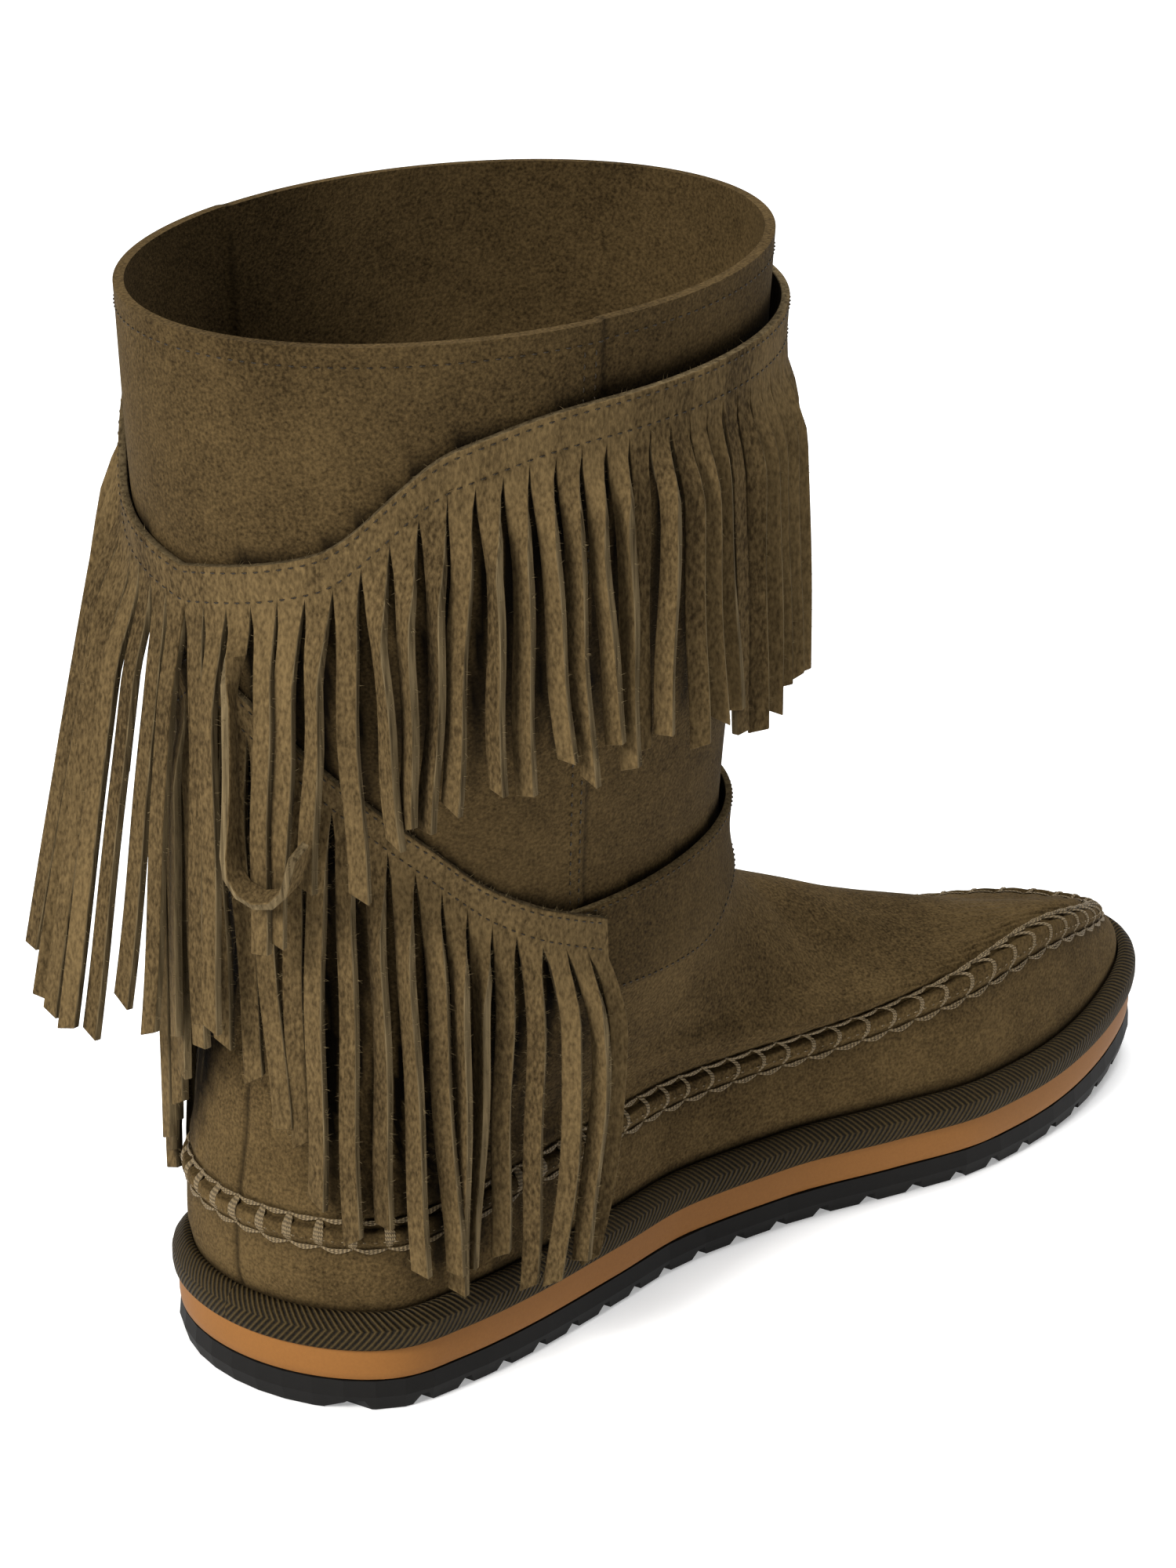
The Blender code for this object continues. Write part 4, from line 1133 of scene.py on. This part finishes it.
        swing = bow * np.sin(math.pi * depth ** 0.75) + lean * depth ** 1.5
        swing += 0.35 * MM * np.sin(depth * 9 + ripple) * soft(depth * 3)
        drop = depth * length
        curl = next((curl for curl in self.curls if first <= curl.angle < last), None)
        if curl:
            twist_most = math.radians(88)
            straight = curl.start * length
            round_it = np.clip((drop - straight) / curl.radius, 0, curl.sweep)
            beyond = np.maximum(drop - straight - curl.sweep * curl.radius, 0)
            swing += curl.way * (curl.radius * (1 - np.cos(round_it)) + beyond * math.sin(curl.sweep))
            drop = np.minimum(drop, straight) + curl.radius * np.sin(round_it) + beyond * math.cos(curl.sweep)
            turn = twist_most
        half = (wide - self.gap * soft(depth * length / (6 * MM))) / 2
        half = half * (1 - chance.uniform(0, 0.1) * soft(depth * length / (12 * MM)))
        twist = turn * soft((depth * length - 1 * MM) / (17 * MM)) * (1 + 0.15 * np.sin(depth * 5 + ripple))
        stand = np.interp(depth, shares, drape) + half * np.abs(np.sin(twist)) * soft(depth * 6)
        place = middle + np.outer(stand, out)
        place += np.outer(swing + side * half * np.cos(twist), along)
        place += np.outer(side * half * np.sin(twist), out)
        level = (left[2] + right[2]) / 2 + side * (right[2] - left[2]) / 2 * (1 - soft(depth * 5))
        place[:, 2] = level - drop - depth * side * slant
        return place

    def dress(self, thing: bpy.types.Object, nap: bpy.types.Material, cut: bpy.types.Material, node: str) -> None:
        """Give the comb its thickness, edges and suede."""
        Bench.paint(thing, nap, cut)
        Bench.thicken(thing, self.thick, 0, rim=1)
        Bench.bevel(thing, 0.18 * MM)
        Bench.smooth(thing, 35)
        Bench.finish(thing, "fringe_suede", node)


class LowerComb(Comb):
    """Fringe round the back of the ankle, rising to the heel, with its ends over the strap's."""

    angles = (0, 15, 30, 45.6, 60, 75, 83)
    heights = (2.66, 2.40, 2.07, 1.73, 1.42, 1.25, 1.17)
    tips = (0.98, 0.47, 0.03, -0.25, -0.36, -0.43, -0.47)

    def stitch(self, angles: np.ndarray) -> np.ndarray:
        """Heights of the stitch line."""
        return self.last.level_at(smooth_table(self.angles, self.heights, np.abs(angles)))

    def lift(self, angles: np.ndarray) -> np.ndarray:
        """Distance of the band's middle off the wall, more over the strap's ends."""
        over = soft((np.abs(angles) - 60) / 10)
        return 0.4 * MM + self.thick / 2 + over * 1.9 * MM

    def length(self, angle: float) -> float:
        """Length of the strip at an angle, down to the line of the tips."""
        tip = self.last.level_at(smooth_table(self.angles, self.tips, abs(angle)))
        return float((self.stitch(angle) - self.slit_drop - tip)[0])

    def bow(self, angle: float) -> tuple[float, float]:
        """Strips near the front ends bow forward and their tips come back."""
        near = float(soft((abs(angle) - 55) / 28))
        way = 1 if angle > 0 else -1
        return way * near * 4.5 * MM, -way * near * 4.0 * MM


class UpperComb(Comb):
    """Fringe all round the shaft below the collar, hanging outside the lower one."""

    angles = (0, 30, 55, 80, 180)
    drops = (1.87, 1.65, 0.95, 0.75, 0.70)
    length_angles = (0, 20, 45, 80, 120, 180, 240, 300, 325, 345, 360)
    lengths = (1.18, 1.25, 1.36, 1.20, 1.03, 0.95, 0.89, 0.84, 0.80, 1.05, 1.18)
    splay_angles = (0, 25, 50, 75, 110, 180, 300, 330, 360)
    splays = (5, 17, 20, 12, 5, 2, 2, 3, 5)

    def stitch(self, angles: np.ndarray) -> np.ndarray:
        """Heights of the stitch line, which dips at the back."""
        turned = np.mod(angles, 360)
        back = np.minimum(turned, 360 - turned)
        return self.last.collar - 30 * MM * smooth_table(self.angles, self.drops, back)

    def lift(self, angles: np.ndarray) -> np.ndarray:
        """Distance of the band's middle off the wall, more over the recessed front panel."""
        turned = np.mod(angles, 360)
        back = np.minimum(turned, 360 - turned)
        return 0.4 * MM + self.thick / 2 + soft((back - 66) / 13.3) * self.last.panel_step

    def length(self, angle: float) -> float:
        """Length of the strip, longest at the back of the outer side."""
        return 76 * MM * float(smooth_table(self.length_angles, self.lengths, angle % 360)[0])

    def splay(self, angle: float) -> float:
        """Distance that a strip's tip stands off beyond a plain hang."""
        return float(smooth_table(self.splay_angles, self.splays, angle % 360)[0]) * MM


@dataclass
class Strap:
    """Crescent strap laid over the instep and round the ankle."""

    last: Last
    first: float = 72.0
    angles: tuple = (72, 88, 113, 134, 180)
    foot: tuple = (0.95, 0.90, 0.87, 0.99, 1.14)
    head: tuple = (1.39, 1.41, 1.44, 1.46, 1.50)
    thick: float = 1.5 * MM
    lay: float = 0.4 * MM

    def edge(self, angles: np.ndarray, share: float) -> np.ndarray:
        """Heights across the strap, from its foot at 0 to its head at 1."""
        back = np.minimum(angles, 360 - angles)
        foot = self.last.level_at(smooth_table(self.angles, self.foot, back))
        head = self.last.level_at(smooth_table(self.angles, self.head, back))
        return foot + (head - foot) * share

    def build(self, suede: bpy.types.Material, cut: bpy.types.Material) -> bpy.types.Object:
        """Model the strap from a grid laid on the wall."""
        columns = 150
        rows = 12
        thing = Bench.grid("strap", columns, rows)
        angles = np.linspace(self.first, 360 - self.first, columns + 1)
        places = []
        for row in range(rows + 1):
            heights = self.edge(angles, row / rows)
            places.append(self.last.at(angles, heights, self.lay + 0.1 * MM))
        Bench.move(thing, np.concatenate(places))
        Bench.flip(thing)
        Bench.paint(thing, suede, cut)
        Bench.thicken(thing, self.thick, 1, rim=1)
        Bench.outward(thing)
        Bench.bevel(thing, 0.3 * MM, 2)
        Bench.smooth(thing, 40)
        Bench.finish(thing, "strap_suede", "ankle_strap")
        return thing


@dataclass
class Rods:
    """Threads laid on the wall: one rod is modelled, then every copy is bent along its own path."""

    last: Last
    sides: int = 6
    cuts: int = 9

    def rod(self, radius: float) -> bpy.types.Object:
        """Closed rod along X from 0 to 1 with a radius in metres."""
        Bench.clear()
        bpy.ops.mesh.primitive_cylinder_add(vertices=self.sides, radius=radius, depth=1, end_fill_type="TRIFAN")
        thing = bpy.context.object
        bpy.ops.object.mode_set(mode="EDIT")
        bpy.ops.mesh.select_all(action="DESELECT")
        work = bmesh.from_edit_mesh(thing.data)
        for edge in work.edges:
            edge.select = abs(edge.verts[0].co.z - edge.verts[1].co.z) > 0.5
        bmesh.update_edit_mesh(thing.data)
        bpy.ops.mesh.subdivide(number_cuts=self.cuts)
        bpy.ops.object.mode_set(mode="OBJECT")
        coords = Bench.coords(thing)
        places = np.stack((coords[:, 2] + 0.5, coords[:, 0], coords[:, 1]), axis=1)
        Bench.move(thing, places)
        return thing

    def lay(self, name: str, radius: float, paths: np.ndarray, slim: float = 0.0) -> bpy.types.Object:
        """Copies of the rod, each along its own path.

        Args:
            name: name of the joined piece.
            radius: radius of each thread.
            paths: for each copy, points of angle, height and lift.
            slim: share by which a thread thins towards its ends.

        Returns:
            The joined threads.
        """
        base = self.rod(radius)
        coords = Bench.coords(base)
        count, knots, _ = paths.shape
        places = self.last.at(
            paths[..., 0].ravel(), paths[..., 1].ravel(), paths[..., 2].ravel()
        ).reshape(count, knots, 3)
        normals = self.last.frames(paths[..., 0].ravel(), paths[..., 1].ravel())[1].reshape(count, knots, 3)
        share = coords[:, 0] * (knots - 1)
        low = np.clip(share.astype(int), 0, knots - 2)
        mixed = (share - low)[None, :, None]
        centre = places[:, low] * (1 - mixed) + places[:, low + 1] * mixed
        runs = np.gradient(places, axis=1)
        run = runs[:, low] * (1 - mixed) + runs[:, low + 1] * mixed
        run /= np.linalg.norm(run, axis=2, keepdims=True)
        up = normals[:, low] * (1 - mixed) + normals[:, low + 1] * mixed
        side = np.cross(up, run)
        side /= np.linalg.norm(side, axis=2, keepdims=True)
        up = np.cross(run, side)
        thin = 1 - slim * (2 * coords[:, 0] - 1) ** 4
        points = centre + side * (coords[:, 1] * thin)[None, :, None] + up * (coords[:, 2] * thin)[None, :, None]
        lengths = np.linalg.norm(np.diff(places, axis=1), axis=2).sum(axis=1)
        around = np.arctan2(coords[:, 2], coords[:, 1]) * radius
        pairs = np.stack((coords[None, :, 0] * lengths[:, None], np.tile(around, (count, 1))), axis=2)
        thing = Bench.stamp(name, base, [Matrix.Identity(4)] * count)
        Bench.move(thing, points.reshape(-1, 3))
        set_uv(thing, pairs.reshape(-1, 2))
        thing.data.shade_smooth()
        return thing


@dataclass
class Ladder:
    """Hand sewn seam round the foot: two running threads and a bundled bar at every hole."""

    last: Last
    pitch: float = 7.0 * MM
    low: float = -0.9 * MM
    high: float = 5.1 * MM
    seed: int = 11

    def holes(self) -> tuple[np.ndarray, float]:
        """Angles of the bars and the degrees to a metre there."""
        fine = np.linspace(0, 360, 721)
        run = self.last.run(fine, self.last.seam_at(fine) + 3 * MM)
        count = round(run[-1] / self.pitch)
        places = np.linspace(0, run[-1], count + 1)
        return np.interp(places, run, fine), np.gradient(fine, run)[np.searchsorted(run, places[:-1])]

    def over(self, rise: np.ndarray) -> np.ndarray:
        """Height of the lip's relief under a thread, at a height over the seam's foot."""
        lip = soft((rise + 0.6 * MM) / (1.4 * MM)) * (1 - soft((rise - 2.6 * MM) / (2.2 * MM)))
        return 0.95 * MM * lip

    def bars(self) -> np.ndarray:
        """Paths of the bars' strands."""
        chance = random.Random(self.seed)
        angles, degrees = self.holes()
        paths = []
        share = np.linspace(0, 1, 9)
        for angle, metre in zip(angles[:-1], degrees):
            back = min(angle, 360 - angle)
            near = float(soft((back - 50) / 50))
            strands = 5 if back < 62 else 2
            spread = 0.45 * MM if back < 62 else 0.5 * MM
            bulge = (0.2 + 1.1 * near) * MM * (1 if angle < 180 else -1)
            top = self.high + chance.uniform(-0.25, 0.25) * MM
            foot = self.low + chance.uniform(-0.25, 0.25) * MM
            shift = chance.uniform(-0.3, 0.3) * MM
            for strand in range(strands):
                place = strand - (strands - 1) / 2
                rise = foot + (top - foot) * share
                waist = 0.55 + 0.45 * np.sin(math.pi * np.clip(share, 0, 1)) ** 0.7 - 0.2 * share
                wide = place * spread * waist + bulge * np.sin(math.pi * share) + shift
                wide += chance.uniform(-0.06, 0.06) * MM * np.sin(share * 6)
                arch = np.sin(math.pi * share) ** 0.5 * 0.55 * MM - 0.35 * MM
                lift = self.over(rise) * np.sin(math.pi * share) ** 0.3 + arch - abs(place) * 0.08 * MM
                paths.append(np.stack((angle + wide * metre, self.last.seam_at(angle) + rise, lift), axis=1))
        return np.array(paths)

    def runs(self) -> np.ndarray:
        """Paths of the strands that run from hole to hole along both edges."""
        chance = random.Random(self.seed + 1)
        angles, _ = self.holes()
        share = np.linspace(0, 1, 9)
        paths = []
        for rise, sag in ((self.low, -0.5), (self.high, -0.3)):
            for first, last in zip(angles[:-1], angles[1:]):
                dip = sag * chance.uniform(0.6, 1.3) * MM
                for strand in range(3):
                    place = (strand - 1) * 0.3 * MM
                    along = first + (last - first) * share
                    height = self.last.seam_at(along) + rise + dip * np.sin(math.pi * share)
                    height = height + place * (0.35 + 0.65 * np.sin(math.pi * share))
                    height = height + 0.1 * MM * np.sin(share * 9 + strand * 2.1)
                    lift = 0.42 * MM * np.sin(math.pi * share) ** 0.5 - 0.15 * MM + self.over(np.full(9, rise)) * 0.5
                    if rise > 0:
                        lift = lift + 0.1 * MM
                    paths.append(np.stack((along, height, lift), axis=1))
        return np.array(paths)

    def build(self, thread: bpy.types.Material, slot: str) -> None:
        """Model the ladder's threads."""
        rods = Rods(self.last)
        bars = rods.lay("seam_bars", 0.3 * MM, self.bars(), slim=0.35)
        runs = rods.lay("seam_runs", 0.21 * MM, self.runs(), slim=0.35)
        for thing in (bars, runs):
            Bench.paint(thing, thread)
            Bench.finish(thing, slot)


@dataclass
class Fuzz:
    """Loose fibres that stand off the cut edges of the strips."""

    count: int = 9000
    radius: float = 0.045 * MM
    shortest: float = 0.4 * MM
    longest: float = 1.7 * MM
    seed: int = 21

    def build(self, name: str, source: bpy.types.Object, material: bpy.types.Material) -> None:
        """Stand fibres on the cut faces of a comb.

        Args:
            name: name of the piece.
            source: comb whose second material covers its cut faces.
            material: finish of the fibres.
        """
        chance = random.Random(self.seed)
        cuts = [polygon for polygon in source.data.polygons if polygon.material_index == 1]
        picked = chance.choices(cuts, weights=[polygon.area for polygon in cuts], k=self.count)
        frames = []
        for polygon in picked:
            corners = [source.data.vertices[vertex].co for vertex in polygon.vertices]
            shares = [chance.random() for _ in corners]
            root = sum((corner * share for corner, share in zip(corners, shares)), Vector()) / sum(shares)
            way = polygon.normal + Vector([chance.uniform(-0.9, 0.9) for _ in range(3)])
            length = self.shortest + (self.longest - self.shortest) * chance.random() ** 2
            turn = way.to_track_quat("Z", "Y").to_matrix().to_4x4()
            frames.append(Matrix.Translation(root) @ turn @ Matrix.Diagonal((1, 1, length, 1)))
        Bench.clear()
        bpy.ops.mesh.primitive_cone_add(vertices=3, radius1=self.radius, radius2=0, depth=1, location=(0, 0, 0))
        base = bpy.context.object
        Bench.move(base, Bench.coords(base) + np.array((0, 0, 0.45)))
        thing = Bench.stamp(name, base, frames)
        Bench.paint(thing, material)
        Bench.finish(thing, "fringe_suede")


@dataclass
class Stitching:
    """Rows of machine stitches along lines on the wall."""

    last: Last
    pitch: float = 2.5 * MM
    length: float = 1.25 * MM
    radius: float = 0.16 * MM

    def row(self, angles: np.ndarray, heights: np.ndarray, lifts: np.ndarray, pitch: float = 0.0) -> np.ndarray:
        """Paths of the stitches along one line.

        Args:
            angles: angles of the line's points.
            heights: heights of the line's points.
            lifts: height of the sewn face over the wall at those points.
            pitch: distance between stitches, or 0 for the usual one.

        Returns:
            A path for each stitch.
        """
        pitch = pitch or self.pitch
        points = self.last.at(angles, heights, lifts)
        run = np.concatenate(((0.0,), np.cumsum(np.linalg.norm(np.diff(points, axis=0), axis=1))))
        count = int(run[-1] / pitch)
        starts = (np.arange(count) + 0.5) * pitch
        share = np.linspace(-0.5, 0.5, 5)
        length = self.length * pitch / self.pitch
        where = starts[:, None] + share[None, :] * length
        arch = self.radius * (0.9 - 3.2 * np.abs(share) ** 2 * 2)
        return np.stack((
            np.interp(where, run, angles),
            np.interp(where, run, heights),
            np.interp(where, run, lifts) + arch[None, :],
        ), axis=2)

    def build(self, name: str, rows: list[np.ndarray], thread: bpy.types.Material, slot: str) -> None:
        """Model rows of stitches as one piece."""
        rods = Rods(self.last, sides=5, cuts=3)
        thing = rods.lay(name, self.radius, np.concatenate(rows), slim=0.4)
        Bench.paint(thing, thread)
        Bench.finish(thing, slot)


@dataclass
class Stage:
    """Floor, light and camera."""

    focus: tuple = (-0.10749, -0.02665, 0.0)
    azimuth: float = -42.0
    elevation: float = 29.0
    distance: float = 1.1
    aim: tuple = (0.64979797, 0.65731782, -0.3817013)
    lens: float = 120.3

    def floor(self) -> None:
        """Plain pale floor."""
        Bench.clear()
        bpy.ops.mesh.primitive_plane_add(size=8, location=(0, 0, -0.0002))
        thing = bpy.context.object
        thing.name = "floor"
        material = bpy.data.materials.new("floor_finish")
        material.use_nodes = True
        shader = material.node_tree.nodes["Principled BSDF"]
        shader.inputs["Base Color"].default_value = (0.86, 0.86, 0.86, 1)
        shader.inputs["Emission Color"].default_value = (1, 1, 1, 1)
        shader.inputs["Emission Strength"].default_value = 0.32
        shader.inputs["Roughness"].default_value = 0.9
        Bench.paint(thing, material)

    def lamp(self, name: str, place: tuple, size: float, power: float, colour: Colour = (1, 1, 1)) -> None:
        """Square soft light that looks at the boot."""
        data = bpy.data.lights.new(name, "AREA")
        data.shape = "SQUARE"
        data.size = size
        data.energy = power
        data.color = colour
        thing = bpy.data.objects.new(name, data)
        bpy.context.scene.collection.objects.link(thing)
        thing.location = place
        look = Vector((0, 0, 0.06)) - Vector(place)
        thing.rotation_euler = look.to_track_quat("-Z", "Y").to_euler()

    def light(self) -> None:
        """Soft studio light, stronger from the heel's outer side."""
        world = bpy.data.worlds.new("studio")
        world.use_nodes = True
        ground = world.node_tree.nodes["Background"]
        ground.inputs["Color"].default_value = (1.0, 1.0, 1.0, 1)
        ground.inputs["Strength"].default_value = 0.22
        bpy.context.scene.world = world
        self.lamp("key", (-1.75, -0.15, 1.25), 0.7, 52.0, (1.0, 0.985, 0.96))
        self.lamp("top", (0.45, 0.1, 2.0), 1.3, 50.0)
        bpy.context.scene.view_settings.view_transform = "Standard"

    def camera(self) -> None:
        """Camera at the photo's place, turned to take in the whole boot."""
        turn = math.radians(self.azimuth)
        rise = math.radians(self.elevation)
        back = Vector((math.sin(turn) * math.cos(rise), -math.cos(turn) * math.cos(rise), math.sin(rise)))
        data = bpy.data.cameras.new("camera")
        data.sensor_fit = "VERTICAL"
        data.sensor_height = 36
        data.lens = self.lens
        thing = bpy.data.objects.new("camera", data)
        bpy.context.scene.collection.objects.link(thing)
        thing.location = Vector(self.focus) + back * self.distance
        thing.rotation_euler = Vector(self.aim).to_track_quat("-Z", "Y").to_euler()
        bpy.context.scene.camera = thing

    def build(self) -> None:
        """Set the stage."""
        self.floor()
        self.light()
        self.camera()


NAP = Suede("upper_nap", (0.0225, 0.0140, 0.0050), (0.106, 0.0690, 0.0275))
STRAP_NAP = Suede("strap_nap", (0.0165, 0.0102, 0.0037), (0.078, 0.0505, 0.0195))
STRAP_CUT = Suede("strap_cut", (0.030, 0.0210, 0.0090), (0.150, 0.1080, 0.0520))
STRIP_NAP = Suede("strip_nap", (0.027, 0.0172, 0.0068), (0.132, 0.0885, 0.0380), stretch=0.5, shade_name="shade")
STRIP_CUT = Suede("strip_cut", (0.030, 0.0208, 0.0095), (0.165, 0.1210, 0.0620), stretch=0.06, grain=1200.0)
HAIR = Suede("loose_fibre", (0.08, 0.058, 0.028), (0.22, 0.165, 0.085))
TAPE = Tape("rand_twill", (0.0035, 0.0023, 0.0008), (0.062, 0.0410, 0.0140))
FOAM = Plain("midsole_foam_finish", (0.192, 0.077, 0.0165), (0.256, 0.109, 0.0255), 1500.0, 0.6)
RUBBER = Plain("outsole_rubber_finish", (0.0045, 0.0041, 0.0037), (0.0085, 0.0078, 0.0070), 900.0, 0.65, 0.15)
FELT = Plain("insole_felt_finish", (0.12, 0.10, 0.075), (0.20, 0.175, 0.135), 900.0, 0.95, 0.3)
KHAKI = Thread("seam_thread", (0.055, 0.0380, 0.0170), (0.250, 0.182, 0.095))
DARK_THREAD = Thread("dark_thread", (0.008, 0.0052, 0.002), (0.028, 0.0190, 0.008))

CREASES = (
    Crease(((214, 0.62), (222, 0.45), (231, 0.30)), -1.5 * MM, 6 * MM),
    Crease(((205, 0.55), (212, 0.40), (222, 0.24)), 1.1 * MM, 6 * MM),
    Crease(((196, 0.72), (204, 0.62), (214, 0.50)), -1.3 * MM, 5 * MM),
    Crease(((150, 0.60), (142, 0.44), (134, 0.28)), -1.5 * MM, 6 * MM),
    Crease(((158, 0.52), (150, 0.36), (141, 0.22)), 1.0 * MM, 6 * MM),
)


CURLS = (
    Curl(345.5, 0.62, 8 * MM, 2.9, -1.0),
)


def build_sole(last: Last) -> None:
    """Model and dress the sole's layers."""
    sole = Sole(last)
    inner = last.upper_inset - 0.3 * MM
    midsole = sole.slab("midsole_body", (
        (0.5 * MM, 7.15 * MM), (0.2 * MM, 7.4 * MM), (0.0, 9.0 * MM), (0.0, 12.0 * MM), (0.2 * MM, 14.0 * MM)))
    Bench.smooth(midsole, 50)
    Bench.paint(midsole, FOAM.build())
    Bench.finish(midsole, "midsole_foam", "midsole")
    low = last.upper_base
    tall = last.rand_height - 0.3 * MM
    over = 1.3 * MM
    profile = [
        (0.6 * over, low), (-0.45 * over, low + 0.02 * tall), (-0.85 * over, low + 0.10 * tall),
        (-over, low + 0.25 * tall), (-over, low + 0.50 * tall), (-0.75 * over, low + 0.66 * tall),
        (-0.2 * over, low + 0.80 * tall), (0.20 * inner, low + 0.91 * tall), (0.45 * inner, low + 0.98 * tall),
        (0.72 * inner, low + tall), (inner, low + 0.96 * tall), (inner, low), (0.6 * over, low)]
    rand = sole.tube("rand_body", profile)
    Bench.smooth(rand, 50)
    Bench.paint(rand, TAPE.build())
    Bench.finish(rand, "rand_tape", "rand")
    FRAME["nodes"]["outsole"].data.materials.clear()
    FRAME["nodes"]["outsole"].data.materials.append(RUBBER.build())
    FRAME["nodes"]["insole"].data.materials.clear()
    FRAME["nodes"]["insole"].data.materials.append(FELT.build())


def build_stitches(last: Last, strap: Strap, lower: LowerComb, higher: UpperComb) -> None:
    """Model the machine stitches of the lip, the bands, the strap and the panel seams."""
    work = Stitching(last)
    full = np.linspace(0, 360, 721)
    ends = np.linspace(-81.8, 81.8, 401)
    face = lower.thick / 2
    rows = [
        work.row(ends, lower.stitch(ends), lower.lift(ends) + face, 2.2 * MM),
        work.row(ends, lower.stitch(ends) + 6.3 * MM, lower.lift(ends) + face, 2.2 * MM),
        work.row(full, higher.stitch(full), higher.lift(full) + face),
        work.row(full, higher.stitch(full) + 6.3 * MM, higher.lift(full) + face),
    ]
    span = np.linspace(73.5, 286.5, 401)
    outer = strap.lay + strap.thick + 0.1 * MM
    for share in (0.045, 0.955):
        rows.append(work.row(span, strap.edge(span, share), np.full(401, outer), 2.0 * MM))
    rise = np.linspace(last.ankle + 8 * MM, last.collar - 3 * MM, 121)
    for side in (1, -1):
        for away in (1.3, 3.4):
            angle = side * (last.panel_angle - away)
            rows.append(work.row(np.full(121, angle), rise, np.full(121, 0.0), 2.4 * MM))
    rows.append(work.row(full, np.full(721, last.collar - 4 * MM), np.where(
        np.minimum(full, 360 - full) > last.panel_angle, -last.panel_step, 0.0)))
    work.build("dark_stitches", rows, DARK_THREAD.build(), "fringe_suede")
    pale = Stitching(last, radius=0.15 * MM)
    lip = [pale.row(full, last.seam_at(full) + 0.9 * MM, np.full(721, 1.0 * MM), 2.2 * MM)]
    pale.build("lip_stitches", lip, KHAKI.build(), "upper_suede")


def main() -> None:
    """Build the boot, piece by piece."""
    logging.basicConfig(level=logging.INFO, format="%(message)s")
    last = Last()
    Stage().build()
    build_sole(last)
    upper = Upper(last, creases=CREASES)
    skin = upper.build()
    upper.dress(skin, NAP.build())
    crescent = Strap(last)
    strap = crescent.build(STRAP_NAP.build(), STRAP_CUT.build())
    Ladder(last).build(KHAKI.build(), "upper_suede")
    nap = STRIP_NAP.build()
    cut = STRIP_CUT.build()
    tree = tree_of(skin, strap)
    lower = LowerComb(last, "lower_strips", (-83, 83))
    lower_sheet = lower.build(tree)
    lower.dress(lower_sheet, nap, cut, "lower_fringe")
    tree = tree_of(skin, strap, lower_sheet)
    higher = UpperComb(last, "upper_strips", (0, 360), seed=5, curls=CURLS)
    higher_sheet = higher.build(tree)
    higher.dress(higher_sheet, nap, cut, "upper_fringe")
    # Painted shade: each piece is darkened where the strap or strips lie close over it, and in the gaps between
    # strips.
    paint_shade_under(skin, tree_of(strap, lower_sheet, higher_sheet), 24 * MM, 1.0)
    paint_shade_under(strap, tree_of(lower_sheet, higher_sheet), 24 * MM, 0.8)
    paint_shade_under(lower_sheet, tree_of(skin, lower_sheet, higher_sheet), 6 * MM, 0.8)
    paint_shade_under(higher_sheet, tree_of(skin, higher_sheet), 6 * MM, 0.7)
    fibre = HAIR.build()
    Fuzz().build("lower_fibres", lower_sheet, fibre)
    Fuzz(seed=22).build("upper_fibres", higher_sheet, fibre)
    build_stitches(last, crescent, lower, higher)


if __name__ == "__main__":
    main()
